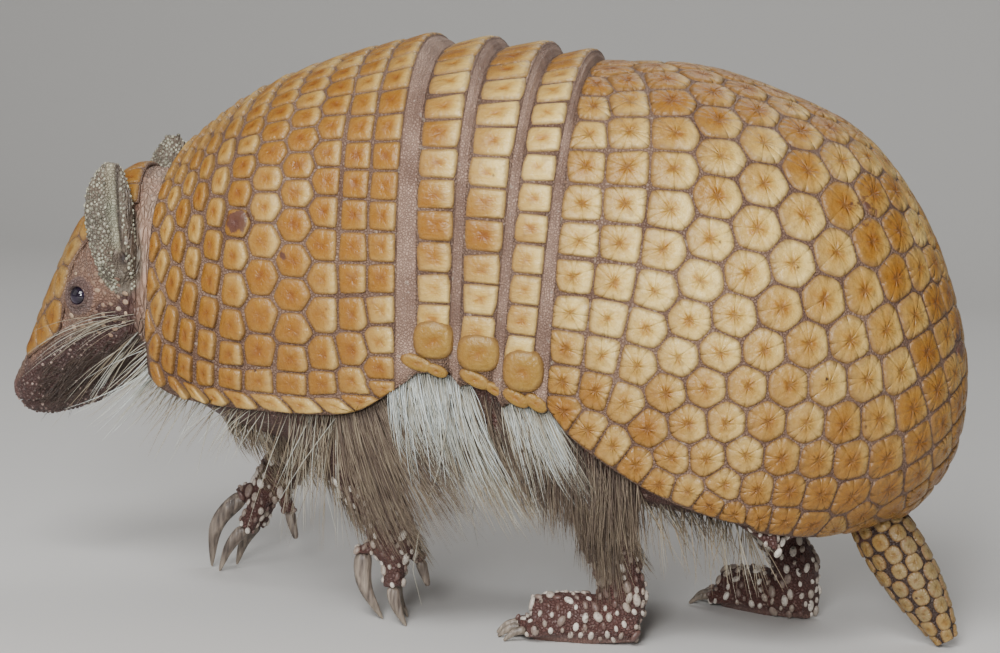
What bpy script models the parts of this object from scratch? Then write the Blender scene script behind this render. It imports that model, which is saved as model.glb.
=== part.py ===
"""Southern three-banded armadillo, life size, walking with its head low.

Frame: +Z up, the animal faces -X, its left side is at -Y, the floor is z = 0.
The sizes below are millimetres in the animal's own lengthwise scale, where x = 0
lies under the middle band; CENTRE_X moves the finished model onto the origin.
"""
import math

import bmesh
import bpy
import numpy as np

MM = 0.001
CENTRE_X = 4.2
FLOOR_Z = 0.0

GAP = 0.35                 # clear space between touching pieces
ROOM_SWELL = 2.6           # a cutter's swelling over that space, to hold it at edges
SHELL_THICK = 2.4          # bony plate with its horny scutes
SHIELD_THICK = 1.9         # head shield
SHIELD_CLEAR = 0.6         # between the head and its shield
TRUNK_DEPTH = 4.7          # flesh below the shell's outer surface
SHELL_ROUND = 2.42         # superellipse power of the shell's cross-section
SHELL_TUCK = 0.93          # half-width at the lower edge over the widest one

# Side profiles (x, z): the midline of the back and the shell's lower edge.
FRONT_TOP = [(-84, 118), (-70, 130.5), (-54, 140), (-38, 146), (-20.5, 151)]
FRONT_EDGE = [(-86, 68), (-83.5, 59.5), (-73, 55), (-45, 54), (-29, 55.5), (-18.5, 62)]
FRONT_WIDTH = [(0, 39), (0.35, 44.5), (1, 48.5)]
REAR_TOP = [(22.5, 146), (48, 146.3), (69, 141), (90, 132), (105, 116), (115, 97),
            (121.5, 74), (121, 54), (116, 42), (109.5, 34)]
REAR_EDGE = [(19.5, 60.5), (27, 53), (46, 42), (65, 35), (84, 31), (93, 30.3), (98, 31.2)]
REAR_WIDTH = [(0, 50), (0.3, 51.5), (0.5, 50), (0.7, 44), (0.85, 33.5), (0.94, 22), (1, 13)]
REAR_WIDEST = [(0, 0.52), (0.25, 0.6), (0.5, 0.8), (0.7, 1.0), (1, 1.0)]
REAR_ROUND = [(0, 2.42), (0.5, 2.2), (1, 2.0)]

# Each band: midline x and z and lower-edge x and z at its front and rear edge.
BANDS = [
    ((-16.3, 148.2), (-5.0, 151.0), (-13.2, 66.5), (-5.2, 67.5), 48.8),
    ((-2.6, 148.2), (9.6, 150.4), (-2.6, 64.5), (5.8, 65.0), 49.3),
    ((11.6, 147.0), (21.2, 149.0), (8.2, 60.5), (15.6, 61.5), 49.8),
]
FRONT_WIDEST = 0.52

# Belly midline under the trunk, from the chest to the tail root.
BELLY = [(-82, 62), (-72, 50), (-52, 42), (-20, 37.5), (20, 36), (48, 33), (72, 29.5),
         (88, 28.5)]

# Head rings, back to nose: crown point, throat point and half-width.
HEAD_RINGS = [
    ((-90.0, 111.0), (-87.0, 66.0), 19.0),
    ((-99.0, 111.0), (-90.5, 61.5), 19.5),
    ((-107.5, 104.0), (-96.0, 56.5), 18.5),
    ((-114.0, 94.5), (-101.0, 52.0), 16.5),
    ((-119.3, 83.0), (-107.0, 48.0), 13.5),
    ((-123.6, 71.5), (-114.0, 45.2), 10.5),
    ((-127.0, 61.5), (-120.0, 43.6), 8.2),
    ((-130.3, 54.5), (-125.3, 43.6), 6.2),
    ((-131.6, 51.2), (-128.6, 45.4), 4.0),
]
TRUNK_FRONT_X = -82.0
TRUNK_FRONT_DEPTH = 10.0
TRUNK_REAR_DEPTH = 9.4
TRUNK_END_RADIUS = 7.2
NECK_RINGS = [
    ((-82.4, 112.0), (-82.4, 61.0), 29.0),
    ((-86.2, 111.5), (-84.4, 63.5), 23.0),
    ((-89.6, 111.0), (-86.6, 66.0), 19.2),
]
SHIELD_REACH = [(0, 0.95), (0.3, 0.9), (0.55, 0.75), (0.8, 1.0), (1, 1.05)]
SHIELD_SPAN = (0.075, 0.86)      # where the head shield starts and ends along the head
SHIELD_ROWS, SHIELD_COLUMNS = 11, 9
EYE_RADIUS = 3.1
EYE_CENTRE = (-109.3, 14.6, 77.0)

# The tail leaves the trunk through a flat plane, given by a point and its direction.
TAIL_ROOT = np.array([100.0, 0, 33.0])
TAIL_FACING = np.array([0.55, 0, -0.835])
TAIL_PATH = [(104.5, 0, 26.3), (111, 0, 17), (117, 0, 8.0), (120.8, 0, 1.6)]
TAIL_RADII = [6.2, 8.0, 7.1, 5.1, 2.8]

# Ears: leaf axis for the left one, drawn at +Y and mirrored; then side, sign, lift, shift.
EAR_PATH = [(-97.5, 17.5, 81.3), (-98.6, 19.8, 86), (-100.3, 21.6, 96), (-100.8, 22.3, 106),
            (-100.2, 22.6, 112.6)]
EAR_RADII = [2.0, 4.9, 6.4, 5.8, 2.6]
EAR_FLAT = 0.5
EAR_TROUGH_OUT = 4.2
EAR_TROUGH_RADII = [1.6, 2.3, 1.8]
EAR_SETS = [("left", -1, 0.0, 0.0), ("right", 1, 3.0, 3.0)]

# Legs: path of the leg from inside the trunk to the wrist or ankle, then of the foot.
FORE_LEG_RADII = [11.0, 9.5, 7.4, 5.8]
FORE_FOOT_RADII = [5.6, 5.7, 4.6]
FORE_LEFT_LEG = [(-46, -24, 66), (-38, -26, 52), (-30, -27, 38.5), (-22.5, -26.5, 27)]
FORE_LEFT_FOOT = [(-22.5, -26.5, 27), (-20.5, -26.3, 21.5), (-19.5, -26.2, 16.5)]
FORE_RIGHT_LEG = [(-50, 23, 66), (-50, 25, 53), (-54, 25.5, 42), (-60.5, 25, 31.5)]
FORE_RIGHT_FOOT = [(-60.5, 25, 31.5), (-63.5, 24.8, 27), (-66.5, 24.6, 22)]

# Toes: root, end, claw tip, how far the claw's back arches, thickness.
FORE_LEFT_TOES = [
    ((-20, -22.5, 17), (-20.5, -21, 10.0), (-17.0, -20, 0.1), (-1.2, 0, 0.5), 2.3),
    ((-22, -26, 19.5), (-28.2, -25.7, 17.5), (-22.5, -25.3, 0.1), (-2.8, 0, 0.3), 3.1),
    ((-19.5, -29, 17), (-19.2, -30.6, 10.0), (-15.2, -31.4, 0.1), (-1.2, 0, 0.5), 2.4),
    ((-18.5, -23, 21), (-14.2, -21.3, 15.5), (-12.0, -20.6, 9.0), (-0.4, 0, 0.9), 1.7),
]
FORE_RIGHT_TOES = [
    ((-67, 21.5, 21), (-71.0, 20.0, 12.5), (-77.5, 18.8, 0.1), (-0.8, 0, 1.2), 2.3),
    ((-66.5, 24.5, 23), (-73.0, 24.3, 20.5), (-81.0, 24.0, 0.1), (-3.4, 0, 2.4), 3.1),
    ((-66.5, 27.5, 21), (-69.8, 29.2, 12.5), (-75.5, 30.0, 0.1), (-0.8, 0, 1.2), 2.4),
    ((-62.5, 22, 25), (-58.8, 20.2, 18.0), (-56.6, 19.6, 11.0), (-0.4, 0, 0.9), 1.7),
]
CLAW_SHARE = 0.78
CLAW_TIP = 0.45

HIND_LEG_RADII = [12.0, 9.8, 7.4, 5.6]
HIND_ANKLE_RADII = [5.5, 5.8, 5.4]
SOLE_STEPS = (0, 8, 17, 26)
SOLE_HEIGHTS = (5.0, 5.4, 4.9, 4.2)
SOLE_RADII = [4.6, 6.2, 7.0, 6.2]
# Name, leg path, ankle path, heel, heading away from straight ahead.
HIND_SETS = [
    ("left", [(44, -23, 60), (33, -26, 45), (34, -27.5, 30), (38, -28.5, 18)],
     [(38, -28.5, 18), (39.3, -28.6, 13), (39.5, -28.5, 7)], (43.5, -28.5, 0), -0.06),
    ("right", [(52, 23, 60), (60, 25, 44), (69, 24.5, 31), (77, 22.5, 19)],
     [(77, 22.5, 19), (80, 21.8, 14), (80.5, 21.6, 7.5)], (84.5, 19.5, 0), 0.5),
]

# Hair: lower outline of the side fringe (x, z), and the throat's bristles.
FRINGE_LOW = [(-80, 46), (-70, 38), (-60, 32), (-50, 25), (-40, 15), (-28, 12), (-14, 16),
              (0, 17), (12, 15), (24, 11), (40, 9), (54, 12), (62, 20)]
FRINGE_THICK = 5.0
FRINGE_CLEAR = 0.5
FRINGE_SIDES = 8
BEARD_PATH = [(-92, 0, 57), (-97, 0, 48), (-102, 0, 40), (-106, 0, 34)]
BEARD_RADII = [10.5, 10.5, 8.0, 3.5]


# ---------------------------------------------------------------- curves

def smooth_path(points, fractions):
    """Points of a smooth curve through the given ones, at fractions of its length."""
    knots = np.asarray(points, float)
    chord = np.linalg.norm(np.diff(knots, axis=0), axis=1) ** 0.5
    at = np.r_[0, np.cumsum(chord)]
    slope = np.empty_like(knots)
    for i in range(len(knots)):
        a, b = max(i - 1, 0), min(i + 1, len(knots) - 1)
        slope[i] = (knots[b] - knots[a]) / (at[b] - at[a])
    dense = np.linspace(0, at[-1], 300)
    k = np.clip(np.searchsorted(at, dense, side="right") - 1, 0, len(knots) - 2)
    step = (at[k + 1] - at[k])[:, None]
    t = (dense - at[k])[:, None] / step
    curve = ((2 * t**3 - 3 * t**2 + 1) * knots[k] + (t**3 - 2 * t**2 + t) * step * slope[k]
             + (3 * t**2 - 2 * t**3) * knots[k + 1] + (t**3 - t**2) * step * slope[k + 1])
    length = np.r_[0, np.cumsum(np.linalg.norm(np.diff(curve, axis=0), axis=1))]
    length /= length[-1]
    wanted = np.atleast_1d(fractions)
    return np.stack([np.interp(wanted, length, column) for column in curve.T], axis=1)


def smooth_value(keys, s):
    """A smooth value at s through (place, value) keys."""
    places, values = np.asarray(keys, float).T
    slopes = np.gradient(values, places)
    s = min(max(s, places[0]), places[-1])
    k = min(max(int(np.searchsorted(places, s, side="right")) - 1, 0), len(places) - 2)
    step = places[k + 1] - places[k]
    t = (s - places[k]) / step
    return ((2 * t**3 - 3 * t**2 + 1) * values[k] + (t**3 - 2 * t**2 + t) * step * slopes[k]
            + (3 * t**2 - 2 * t**3) * values[k + 1] + (t**3 - t**2) * step * slopes[k + 1])


# ------------------------------------------------------- the shell's surface

def half_arc(top, edge, width, widest, power, fractions):
    """Half a shell cross-section, from the midline down the left side to the edge."""
    turn = np.linspace(0, math.pi / 2, 48)
    drop = widest * (1 - np.clip(np.cos(turn), 0, 1) ** (2 / power))
    out = np.sin(turn) ** (2 / power)
    if widest < 0.999:
        below = np.linspace(0, 1, 24)[1:]
        tuck = math.sqrt(1 - SHELL_TUCK**2)
        drop = np.r_[drop, widest + (1 - widest) * below]
        out = np.r_[out, np.sqrt(1 - (below * tuck) ** 2)]
    arc = np.stack([top[0] + (edge[0] - top[0]) * drop, -width * out,
                    top[1] + (edge[1] - top[1]) * drop], axis=1)
    length = np.r_[0, np.cumsum(np.linalg.norm(np.diff(arc, axis=0), axis=1))]
    wanted = np.asarray(fractions) * length[-1]
    return np.stack([np.interp(wanted, length, column) for column in arc.T], axis=1)


def front_station(s):
    top = smooth_path(FRONT_TOP, s)[0]
    edge = smooth_path(FRONT_EDGE, s)[0]
    return top, edge, smooth_value(FRONT_WIDTH, s), FRONT_WIDEST, SHELL_ROUND


def band_station(band, s):
    top_a, top_b, edge_a, edge_b, width = (np.asarray(v, float) for v in BANDS[band])
    return (top_a + (top_b - top_a) * s, edge_a + (edge_b - edge_a) * s, float(width),
            FRONT_WIDEST, SHELL_ROUND)


def rear_station(s):
    top = smooth_path(REAR_TOP, s)[0]
    edge = smooth_path(REAR_EDGE, s)[0]
    widest = min(smooth_value(REAR_WIDEST, s), 1.0)
    return top, edge, smooth_value(REAR_WIDTH, s), widest, smooth_value(REAR_ROUND, s)


def whole_arc(station, count):
    """The full cross-section, left edge over the back to the right edge."""
    left = half_arc(*station, np.linspace(1, 0, count))
    right = left[-2::-1] * (1, -1, 1)
    return np.vstack([left, right])


# ---------------------------------------------------------------- meshes

def clear_scene():
    for thing in list(bpy.data.objects):
        bpy.data.objects.remove(thing, do_unlink=True)
    for group in list(bpy.data.collections):
        bpy.data.collections.remove(group)


def make_collection(name):
    group = bpy.data.collections.new(name)
    bpy.context.scene.collection.children.link(group)
    return group


def material(name, colour, roughness):
    if name in bpy.data.materials:
        return bpy.data.materials[name]
    made = bpy.data.materials.new(name)
    made.use_nodes = True
    shader = made.node_tree.nodes["Principled BSDF"]
    shader.inputs["Base Color"].default_value = (*colour, 1)
    shader.inputs["Roughness"].default_value = roughness
    shader.inputs["Metallic"].default_value = 0
    made.diffuse_color = (*colour, 1)
    return made


def scute_yellow():
    return material("scute_horn", (0.55, 0.36, 0.12), 0.4)


def skin_brown():
    return material("bare_skin", (0.20, 0.12, 0.09), 0.6)


def hair_grey():
    return material("coat_hair", (0.42, 0.38, 0.31), 0.7)


def claw_horn():
    return material("claw_horn", (0.24, 0.19, 0.15), 0.4)


def mesh_object(name, points, faces, finish, group):
    """A named object from points in the animal's millimetres."""
    mesh = bpy.data.meshes.new(name)
    placed = (np.asarray(points, float) + (CENTRE_X, 0, 0)) * MM
    mesh.from_pydata(placed.tolist(), [], faces)
    mesh.materials.append(finish)
    mesh.shade_smooth()
    mesh.set_sharp_from_angle(angle=math.radians(50))
    thing = bpy.data.objects.new(name, mesh)
    group.objects.link(thing)
    return thing


def turn_outward(thing):
    bm = bmesh.new()
    bm.from_mesh(thing.data)
    bmesh.ops.recalc_face_normals(bm, faces=bm.faces)
    bm.to_mesh(thing.data)
    bm.free()


def loft(name, rings, finish, group):
    """A closed body through rings of equal point count, with a fan at each end."""
    rings = [np.asarray(ring, float) for ring in rings]
    count = len(rings[0])
    points = np.vstack(rings + [rings[0].mean(axis=0), rings[-1].mean(axis=0)])
    faces = []
    for i in range(len(rings) - 1):
        for j in range(count):
            k = (j + 1) % count
            faces.append((i * count + j, i * count + k, (i + 1) * count + k, (i + 1) * count + j))
    first, last = len(points) - 2, len(points) - 1
    end = (len(rings) - 1) * count
    for j in range(count):
        k = (j + 1) % count
        faces.append((first, k, j))
        faces.append((last, end + j, end + k))
    thing = mesh_object(name, points, faces, finish, group)
    turn_outward(thing)
    return thing


def shell_piece(name, stations, half_count, group):
    """A bony shell: an open lofted surface thickened inward."""
    arcs = [whole_arc(station, half_count) for station in stations]
    count = len(arcs[0])
    faces = []
    for i in range(len(arcs) - 1):
        for j in range(count - 1):
            faces.append((i * count + j, (i + 1) * count + j,
                          (i + 1) * count + j + 1, i * count + j + 1))
    thing = mesh_object(name, np.vstack(arcs), faces, scute_yellow(), group)
    thicken = thing.modifiers.new("wall", "SOLIDIFY")
    thicken.thickness = SHELL_THICK * MM
    thicken.offset = -1
    thicken.use_even_offset = True
    return thing


def cut_by(thing, cutter):
    cut = thing.modifiers.new("clear_of_" + cutter.name, "BOOLEAN")
    cut.operation = "DIFFERENCE"
    cut.solver = "EXACT"
    cut.object = cutter


def join_with(thing, other):
    joined = thing.modifiers.new("with_" + other.name, "BOOLEAN")
    joined.operation = "UNION"
    joined.solver = "EXACT"
    joined.object = other


def hide_cutter(thing):
    thing.hide_render = True
    thing.display_type = "WIRE"


def room_around(thing, cutters):
    """A cutter a little larger than a piece, so that what it cuts stays clear of it."""
    room = bpy.data.objects.new(thing.name + "_room", thing.data)
    cutters.objects.link(room)
    swell = room.modifiers.new("swell", "DISPLACE")
    swell.strength = ROOM_SWELL * GAP * MM
    swell.mid_level = 0
    hide_cutter(room)
    return room


# ---------------------------------------------------------------- rings

def side_ring(top, bottom, half_width, count, power=2.2):
    """A ring in the plane through two midline points, egg-round from side to side."""
    top, bottom = np.asarray(top, float), np.asarray(bottom, float)
    middle, reach = (top + bottom) / 2, (top - bottom) / 2
    ring = []
    for i in range(count):
        turn = 2 * math.pi * i / count
        c, s = math.cos(turn), math.sin(turn)
        c = math.copysign(abs(c) ** (2 / power), c)
        s = math.copysign(abs(s) ** (2 / power), s)
        ring.append((middle[0] + reach[0] * c, -half_width * s, middle[1] + reach[1] * c))
    return np.array(ring)


def ring_series(rings, fractions, count):
    """Rings read off a smooth run through the given ones."""
    table = np.array([(*top, *bottom, width) for top, bottom, width in rings], float)
    return [side_ring(row[0:2], row[2:4], row[4], count)
            for row in smooth_path(table, fractions)]


def limb(name, path, radii, finish, group, sides=10, steps=None, flatten=1.0,
         start_facing=None, end_facing=None):
    """A closed tapering tube along a path, never below the floor; flatten narrows it in Y.

    A facing sets the plane of the first or last ring where the next piece meets it.
    """
    table = np.array([(*p, r) for p, r in zip(path, radii)], float)
    steps = steps or 2 * len(path) - 1
    run = smooth_path(table, np.linspace(0, 1, steps))
    along = np.gradient(run[:, :3], axis=0)
    if start_facing is not None:
        along[0] = start_facing
    if end_facing is not None:
        along[-1] = end_facing
    rings = []
    for row, direction in zip(run, along):
        direction = direction / np.linalg.norm(direction)
        side = np.array([0.0, 1.0, 0.0])
        side = side - direction * side.dot(direction)
        side /= np.linalg.norm(side)
        up = np.cross(direction, side)
        turns = 2 * math.pi * np.arange(sides) / sides
        ring = row[:3] + row[3] * (np.cos(turns)[:, None] * up
                                   + flatten * np.sin(turns)[:, None] * side)
        ring[:, 2] = np.maximum(ring[:, 2], FLOOR_Z)
        rings.append(ring)
    return loft(name, rings, finish, group)


def ball(name, centre, radius, finish, group):
    bm = bmesh.new()
    bmesh.ops.create_uvsphere(bm, u_segments=10, v_segments=7, radius=radius * MM)
    place = (np.asarray(centre, float) + (CENTRE_X, 0, 0)) * MM
    bmesh.ops.translate(bm, verts=bm.verts, vec=place.tolist())
    mesh = bpy.data.meshes.new(name)
    bm.to_mesh(mesh)
    bm.free()
    mesh.materials.append(finish)
    mesh.shade_smooth()
    thing = bpy.data.objects.new(name, mesh)
    group.objects.link(thing)
    return thing


# ---------------------------------------------------------------- the shell

def build_shell(group):
    """Scapular shield, three bands and pelvic shield, each a separate plate."""
    shell_piece("shell_front", [front_station(s) for s in np.linspace(0, 1, 8)], 11, group)
    for band in range(len(BANDS)):
        shell_piece(f"shell_band_{band + 1}",
                    [band_station(band, s) for s in (0, 1)], 13, group)
    shell_piece("shell_rear", [rear_station(s) for s in np.linspace(0, 1, 15)], 11, group)


# ---------------------------------------------------------------- the trunk

def inner_arc(station_at, s, depth, half_count):
    """The full cross-section at s, drawn in by a depth square to the shell's surface."""
    step = 0.01
    here = whole_arc(station_at(s), half_count)
    ahead = whole_arc(station_at(min(s + step, 1)), half_count)
    behind = whole_arc(station_at(max(s - step, 0)), half_count)
    normal = np.cross(np.gradient(here, axis=0), ahead - behind)
    normal /= np.linalg.norm(normal, axis=1)[:, None]
    outward = np.sign(normal[half_count - 1] @ (here[half_count - 1] - here.mean(axis=0)))
    return here - depth * outward * normal


def trunk_ring(back, belly, belly_count):
    """Back arc under the shell, closed by a shallow belly arc."""
    left = back[0]
    hang = np.array([belly[0], 0, belly[1]]) - (left[0], 0, left[2])
    turns = np.linspace(0, math.pi, belly_count + 2)[1:-1]
    under = [(left[0], 0, left[2]) + hang * math.sin(t)
             + np.array([0, -left[1] * math.cos(t), 0]) for t in turns]
    return np.vstack([back, under])


def build_trunk(group, cutters):
    """Flesh from the chest to the tail root."""
    places = [(front_station, s) for s in (0.05, 0.22, 0.4, 0.58, 0.77, 0.97)]
    places += [(lambda s, band=band: band_station(band, s), 0.5) for band in range(len(BANDS))]
    places += [(rear_station, s) for s in np.linspace(0.03, 0.8, 9)]
    depths = [TRUNK_FRONT_DEPTH] + [TRUNK_DEPTH] * (len(places) - 5) + [TRUNK_REAR_DEPTH] * 4
    bellies = smooth_path(BELLY, np.linspace(0, 1, len(places)))
    rings = [trunk_ring(inner_arc(station_at, s, depth, 9), belly, 7)
             for (station_at, s), belly, depth in zip(places, bellies, depths)]
    rings[0][:, 0] = TRUNK_FRONT_X
    spokes = rings[-1] - TAIL_ROOT
    spokes -= np.outer(spokes @ TAIL_FACING, TAIL_FACING)
    rings.append(TAIL_ROOT + TRUNK_END_RADIUS * spokes / np.linalg.norm(spokes, axis=1)[:, None])
    return room_around(loft("trunk", rings, skin_brown(), group), cutters)


# ---------------------------------------------------------------- head and neck

def head_point(s, turn, grow):
    """A point of the head's surface at a fraction of its length and a turn from the crown."""
    table = np.array([(*top, *bottom, width) for top, bottom, width in HEAD_RINGS], float)
    row = smooth_path(table, s)[0]
    top, bottom = row[0:2], row[2:4]
    middle, reach = (top + bottom) / 2, (top - bottom) / 2
    reach = reach * (1 + grow / np.linalg.norm(reach))
    c, w = math.cos(turn), math.sin(turn)
    c = math.copysign(abs(c) ** (2 / 2.2), c)
    w = math.copysign(abs(w) ** (2 / 2.2), w)
    return middle[0] + reach[0] * c, -(row[4] + grow) * w, middle[1] + reach[1] * c


def build_head(group, cutters):
    """Head with eye sockets, the shield on its crown, and the neck behind it."""
    skin = skin_brown()
    head = loft("head", ring_series(HEAD_RINGS, np.linspace(0, 1, 12), 18), skin, group)
    head_room = room_around(head, cutters)
    neck = loft("neck", ring_series(NECK_RINGS, np.linspace(0, 1, 4), 18), skin, group)
    neck_room = room_around(neck, cutters)

    dark = material("eye_dark", (0.01, 0.01, 0.012), 0.1)
    x, y, z = EYE_CENTRE
    for side, sign in (("left", -1), ("right", 1)):
        ball(f"eye_{side}", (x, sign * y, z), EYE_RADIUS, dark, group)
        socket = ball(f"socket_{side}", (x, sign * y, z), EYE_RADIUS + GAP, skin, cutters)
        hide_cutter(socket)
        cut_by(head, socket)

    points, faces = [], []
    for i in range(SHIELD_ROWS):
        share = i / (SHIELD_ROWS - 1)
        s = SHIELD_SPAN[0] + (SHIELD_SPAN[1] - SHIELD_SPAN[0]) * share
        reach = smooth_value(SHIELD_REACH, share)
        for j in range(SHIELD_COLUMNS):
            turn = reach * (2 * j / (SHIELD_COLUMNS - 1) - 1)
            points.append(head_point(s, turn, SHIELD_CLEAR))
    for i in range(SHIELD_ROWS - 1):
        for j in range(SHIELD_COLUMNS - 1):
            a = i * SHIELD_COLUMNS + j
            faces.append((a, a + SHIELD_COLUMNS, a + 1 + SHIELD_COLUMNS, a + 1))
    shield = mesh_object("head_shield", points, faces, scute_yellow(), group)
    thicken = shield.modifiers.new("plate", "SOLIDIFY")
    thicken.thickness = SHIELD_THICK * MM
    thicken.offset = 1
    return head_room, neck_room


def build_ears(group, cutters, head_room):
    """Tall oval ears, each a thick leaf with a shallow trough on its outer face."""
    skin = skin_brown()
    for side, sign, lift, shift in EAR_SETS:
        path = [(x + shift, sign * y, z + lift) for x, y, z in EAR_PATH]
        ear = limb(f"ear_{side}", path, EAR_RADII, skin, group, sides=12, steps=8,
                   flatten=EAR_FLAT)
        trough_path = [(x + 1.6, y + sign * EAR_TROUGH_OUT, z) for x, y, z in path[1:-1]]
        trough = limb(f"trough_{side}", trough_path, EAR_TROUGH_RADII, skin, cutters, sides=8)
        hide_cutter(trough)
        for cutter in (trough, head_room):
            cut_by(ear, cutter)


# ---------------------------------------------------------------- legs and tail

def unit(vector):
    vector = np.asarray(vector, float)
    return vector / np.linalg.norm(vector)


def build_claw(name, toe_end, tip, bulge, radius, group):
    """A curved tapering claw that starts just clear of its toe."""
    toe_end, tip = np.asarray(toe_end, float), np.asarray(tip, float)
    middle = (toe_end + tip) / 2 + bulge
    facing = unit(middle - toe_end)
    base = toe_end + facing * GAP
    limb(name, [base, middle, tip], [radius, radius * 0.85, CLAW_TIP], claw_horn(), group,
         sides=6, steps=5, start_facing=facing, flatten=0.8)
    return facing


def build_leg(name, joint_path, radii, foot_path, foot_radii, sole, toes, group, cutters,
              trunk_room):
    """Leg down to a wrist or ankle plane, then foot, toes and claws."""
    skin = skin_brown()
    plane = unit(np.subtract(foot_path[1], foot_path[0]))
    leg = limb(f"leg_{name}", joint_path, radii, skin, group, sides=11, end_facing=plane)
    cut_by(leg, trunk_room)
    start = np.asarray(foot_path[0], float) + plane * GAP
    foot = limb(f"foot_{name}", [start, *foot_path[1:]], foot_radii, skin, group, sides=10,
                start_facing=plane)
    if sole:
        pad = limb(f"sole_{name}", sole[0], sole[1], skin, cutters, sides=10, steps=5)
        hide_cutter(pad)
        join_with(foot, pad)
    for number, (root, end, tip, bulge, thick) in enumerate(toes, start=1):
        claw_name = f"claw_{name}_{number}"
        facing = build_claw(claw_name, end, tip, bulge, thick * CLAW_SHARE, group)
        toe = limb(f"toe_{name}_{number}", [root, end], [thick * 1.15, thick], skin, cutters,
                   sides=7, steps=2, end_facing=facing)
        hide_cutter(toe)
        join_with(foot, toe)


def build_legs(group, cutters, trunk_room):
    """Left fore set back, right fore reaching forward; left hind forward, right hind back."""
    build_leg("fore_left", FORE_LEFT_LEG, FORE_LEG_RADII, FORE_LEFT_FOOT, FORE_FOOT_RADII,
              None, FORE_LEFT_TOES, group, cutters, trunk_room)
    build_leg("fore_right", FORE_RIGHT_LEG, FORE_LEG_RADII, FORE_RIGHT_FOOT, FORE_FOOT_RADII,
              None, FORE_RIGHT_TOES, group, cutters, trunk_room)
    for name, leg_path, ankle, heel, turn in HIND_SETS:
        sole, toes = hind_foot(heel, turn)
        build_leg(f"hind_{name}", leg_path, HIND_LEG_RADII, ankle, HIND_ANKLE_RADII, sole,
                  toes, group, cutters, trunk_room)


def hind_foot(heel, turn):
    """Sole and five toes of a flat hind foot, from its heel and its heading."""
    forward = np.array([-math.cos(turn), math.sin(turn), 0])
    across = np.array([forward[1], -forward[0], 0])
    heel = np.asarray(heel, float)
    sole_path = [heel + forward * d + (0, 0, h) for d, h in zip(SOLE_STEPS, SOLE_HEIGHTS)]
    toes = []
    for place in range(5):
        side = (place - 2) / 2
        reach = SOLE_STEPS[-1] + 1.0 - 3.2 * abs(side + 0.1) ** 1.5
        root = heel + forward * (reach - 5) + across * side * 5.2 + (0, 0, 3.6)
        end = heel + forward * (reach + 3) + across * side * 7.2 + (0, 0, 3.0)
        tip = heel + forward * (reach + 8.5) + across * side * 8.9 + (0, 0, 0.3)
        toes.append((root, end, tip, (0, 0, 1.0), 2.1 - 0.35 * abs(side)))
    return (sole_path, SOLE_RADII), toes


def build_tail(group):
    start = TAIL_ROOT + TAIL_FACING * GAP
    limb("tail", [start, *TAIL_PATH], TAIL_RADII, skin_brown(), group, sides=12, steps=8,
         start_facing=TAIL_FACING)


# ---------------------------------------------------------------- coat

def build_fringes(group, trunk_room):
    """The curtain of long hair that hangs from under the shell's lower edge, each side."""
    stations = [front_station(s) for s in (0.13, 0.28, 0.45, 0.62, 0.79, 0.93)]
    stations += [band_station(band, 0.5) for band in range(len(BANDS))]
    stations += [rear_station(s) for s in (0.06, 0.15, 0.24, 0.33, 0.42)]
    for side, sign in (("left", 1), ("right", -1)):
        rings = []
        for station in stations:
            x, y, z = half_arc(*station, [1.0])[0]
            middle = sign * (y + SHELL_THICK + GAP + FRINGE_CLEAR + FRINGE_THICK / 2)
            low = float(np.interp(x, *zip(*FRINGE_LOW)))
            rings.append(fringe_ring(x, middle, z + 0.5, low))
        fringe = loft(f"coat_fringe_{side}", rings, hair_grey(), group)
        cut_by(fringe, trunk_room)


def fringe_ring(x, y, high, low):
    """A slim upright ring, thinner at its lower end where the hairs thin out."""
    ring = []
    for i in range(FRINGE_SIDES):
        turn = 2 * math.pi * i / FRINGE_SIDES
        c, s = math.cos(turn), math.sin(turn)
        width = FRINGE_THICK / 2 * (0.75 + 0.25 * c)
        ring.append((x, y + width * math.copysign(abs(s) ** 0.7, s),
                     (high + low) / 2 + (high - low) / 2 * math.copysign(abs(c) ** 0.6, c)))
    return ring


def build_beard(group, rooms):
    """The bristles that sweep down and forward from the cheeks and throat."""
    beard = limb("throat_bristles", BEARD_PATH, BEARD_RADII, hair_grey(), group, sides=14,
                 flatten=1.1)
    for room in rooms:
        cut_by(beard, room)


def build():
    clear_scene()
    group = make_collection("three_banded_armadillo")
    cutters = make_collection("cutters")
    build_shell(group)
    trunk_room = build_trunk(group, cutters)
    head_room, neck_room = build_head(group, cutters)
    build_ears(group, cutters, head_room)
    build_legs(group, cutters, trunk_room)
    build_tail(group)
    build_fringes(group, trunk_room)
    build_beard(group, (head_room, neck_room))


build()
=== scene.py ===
"""Southern three-banded armadillo, a still life-size model of the living animal.

Frame: metres, +Z up, the animal faces -X, its left side is at -Y, the floor is z = 0.
Sizes are millimetres in the animal's own lengthwise scale; placed() moves them into the frame.
"""
import functools
import itertools
import math

import bmesh
import bpy
import numpy as np
from mathutils import Matrix, Vector
from mathutils.bvhtree import BVHTree
from mathutils.geometry import delaunay_2d_cdt
from mathutils.interpolate import poly_3d_calc
from numpy.linalg import norm


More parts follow.
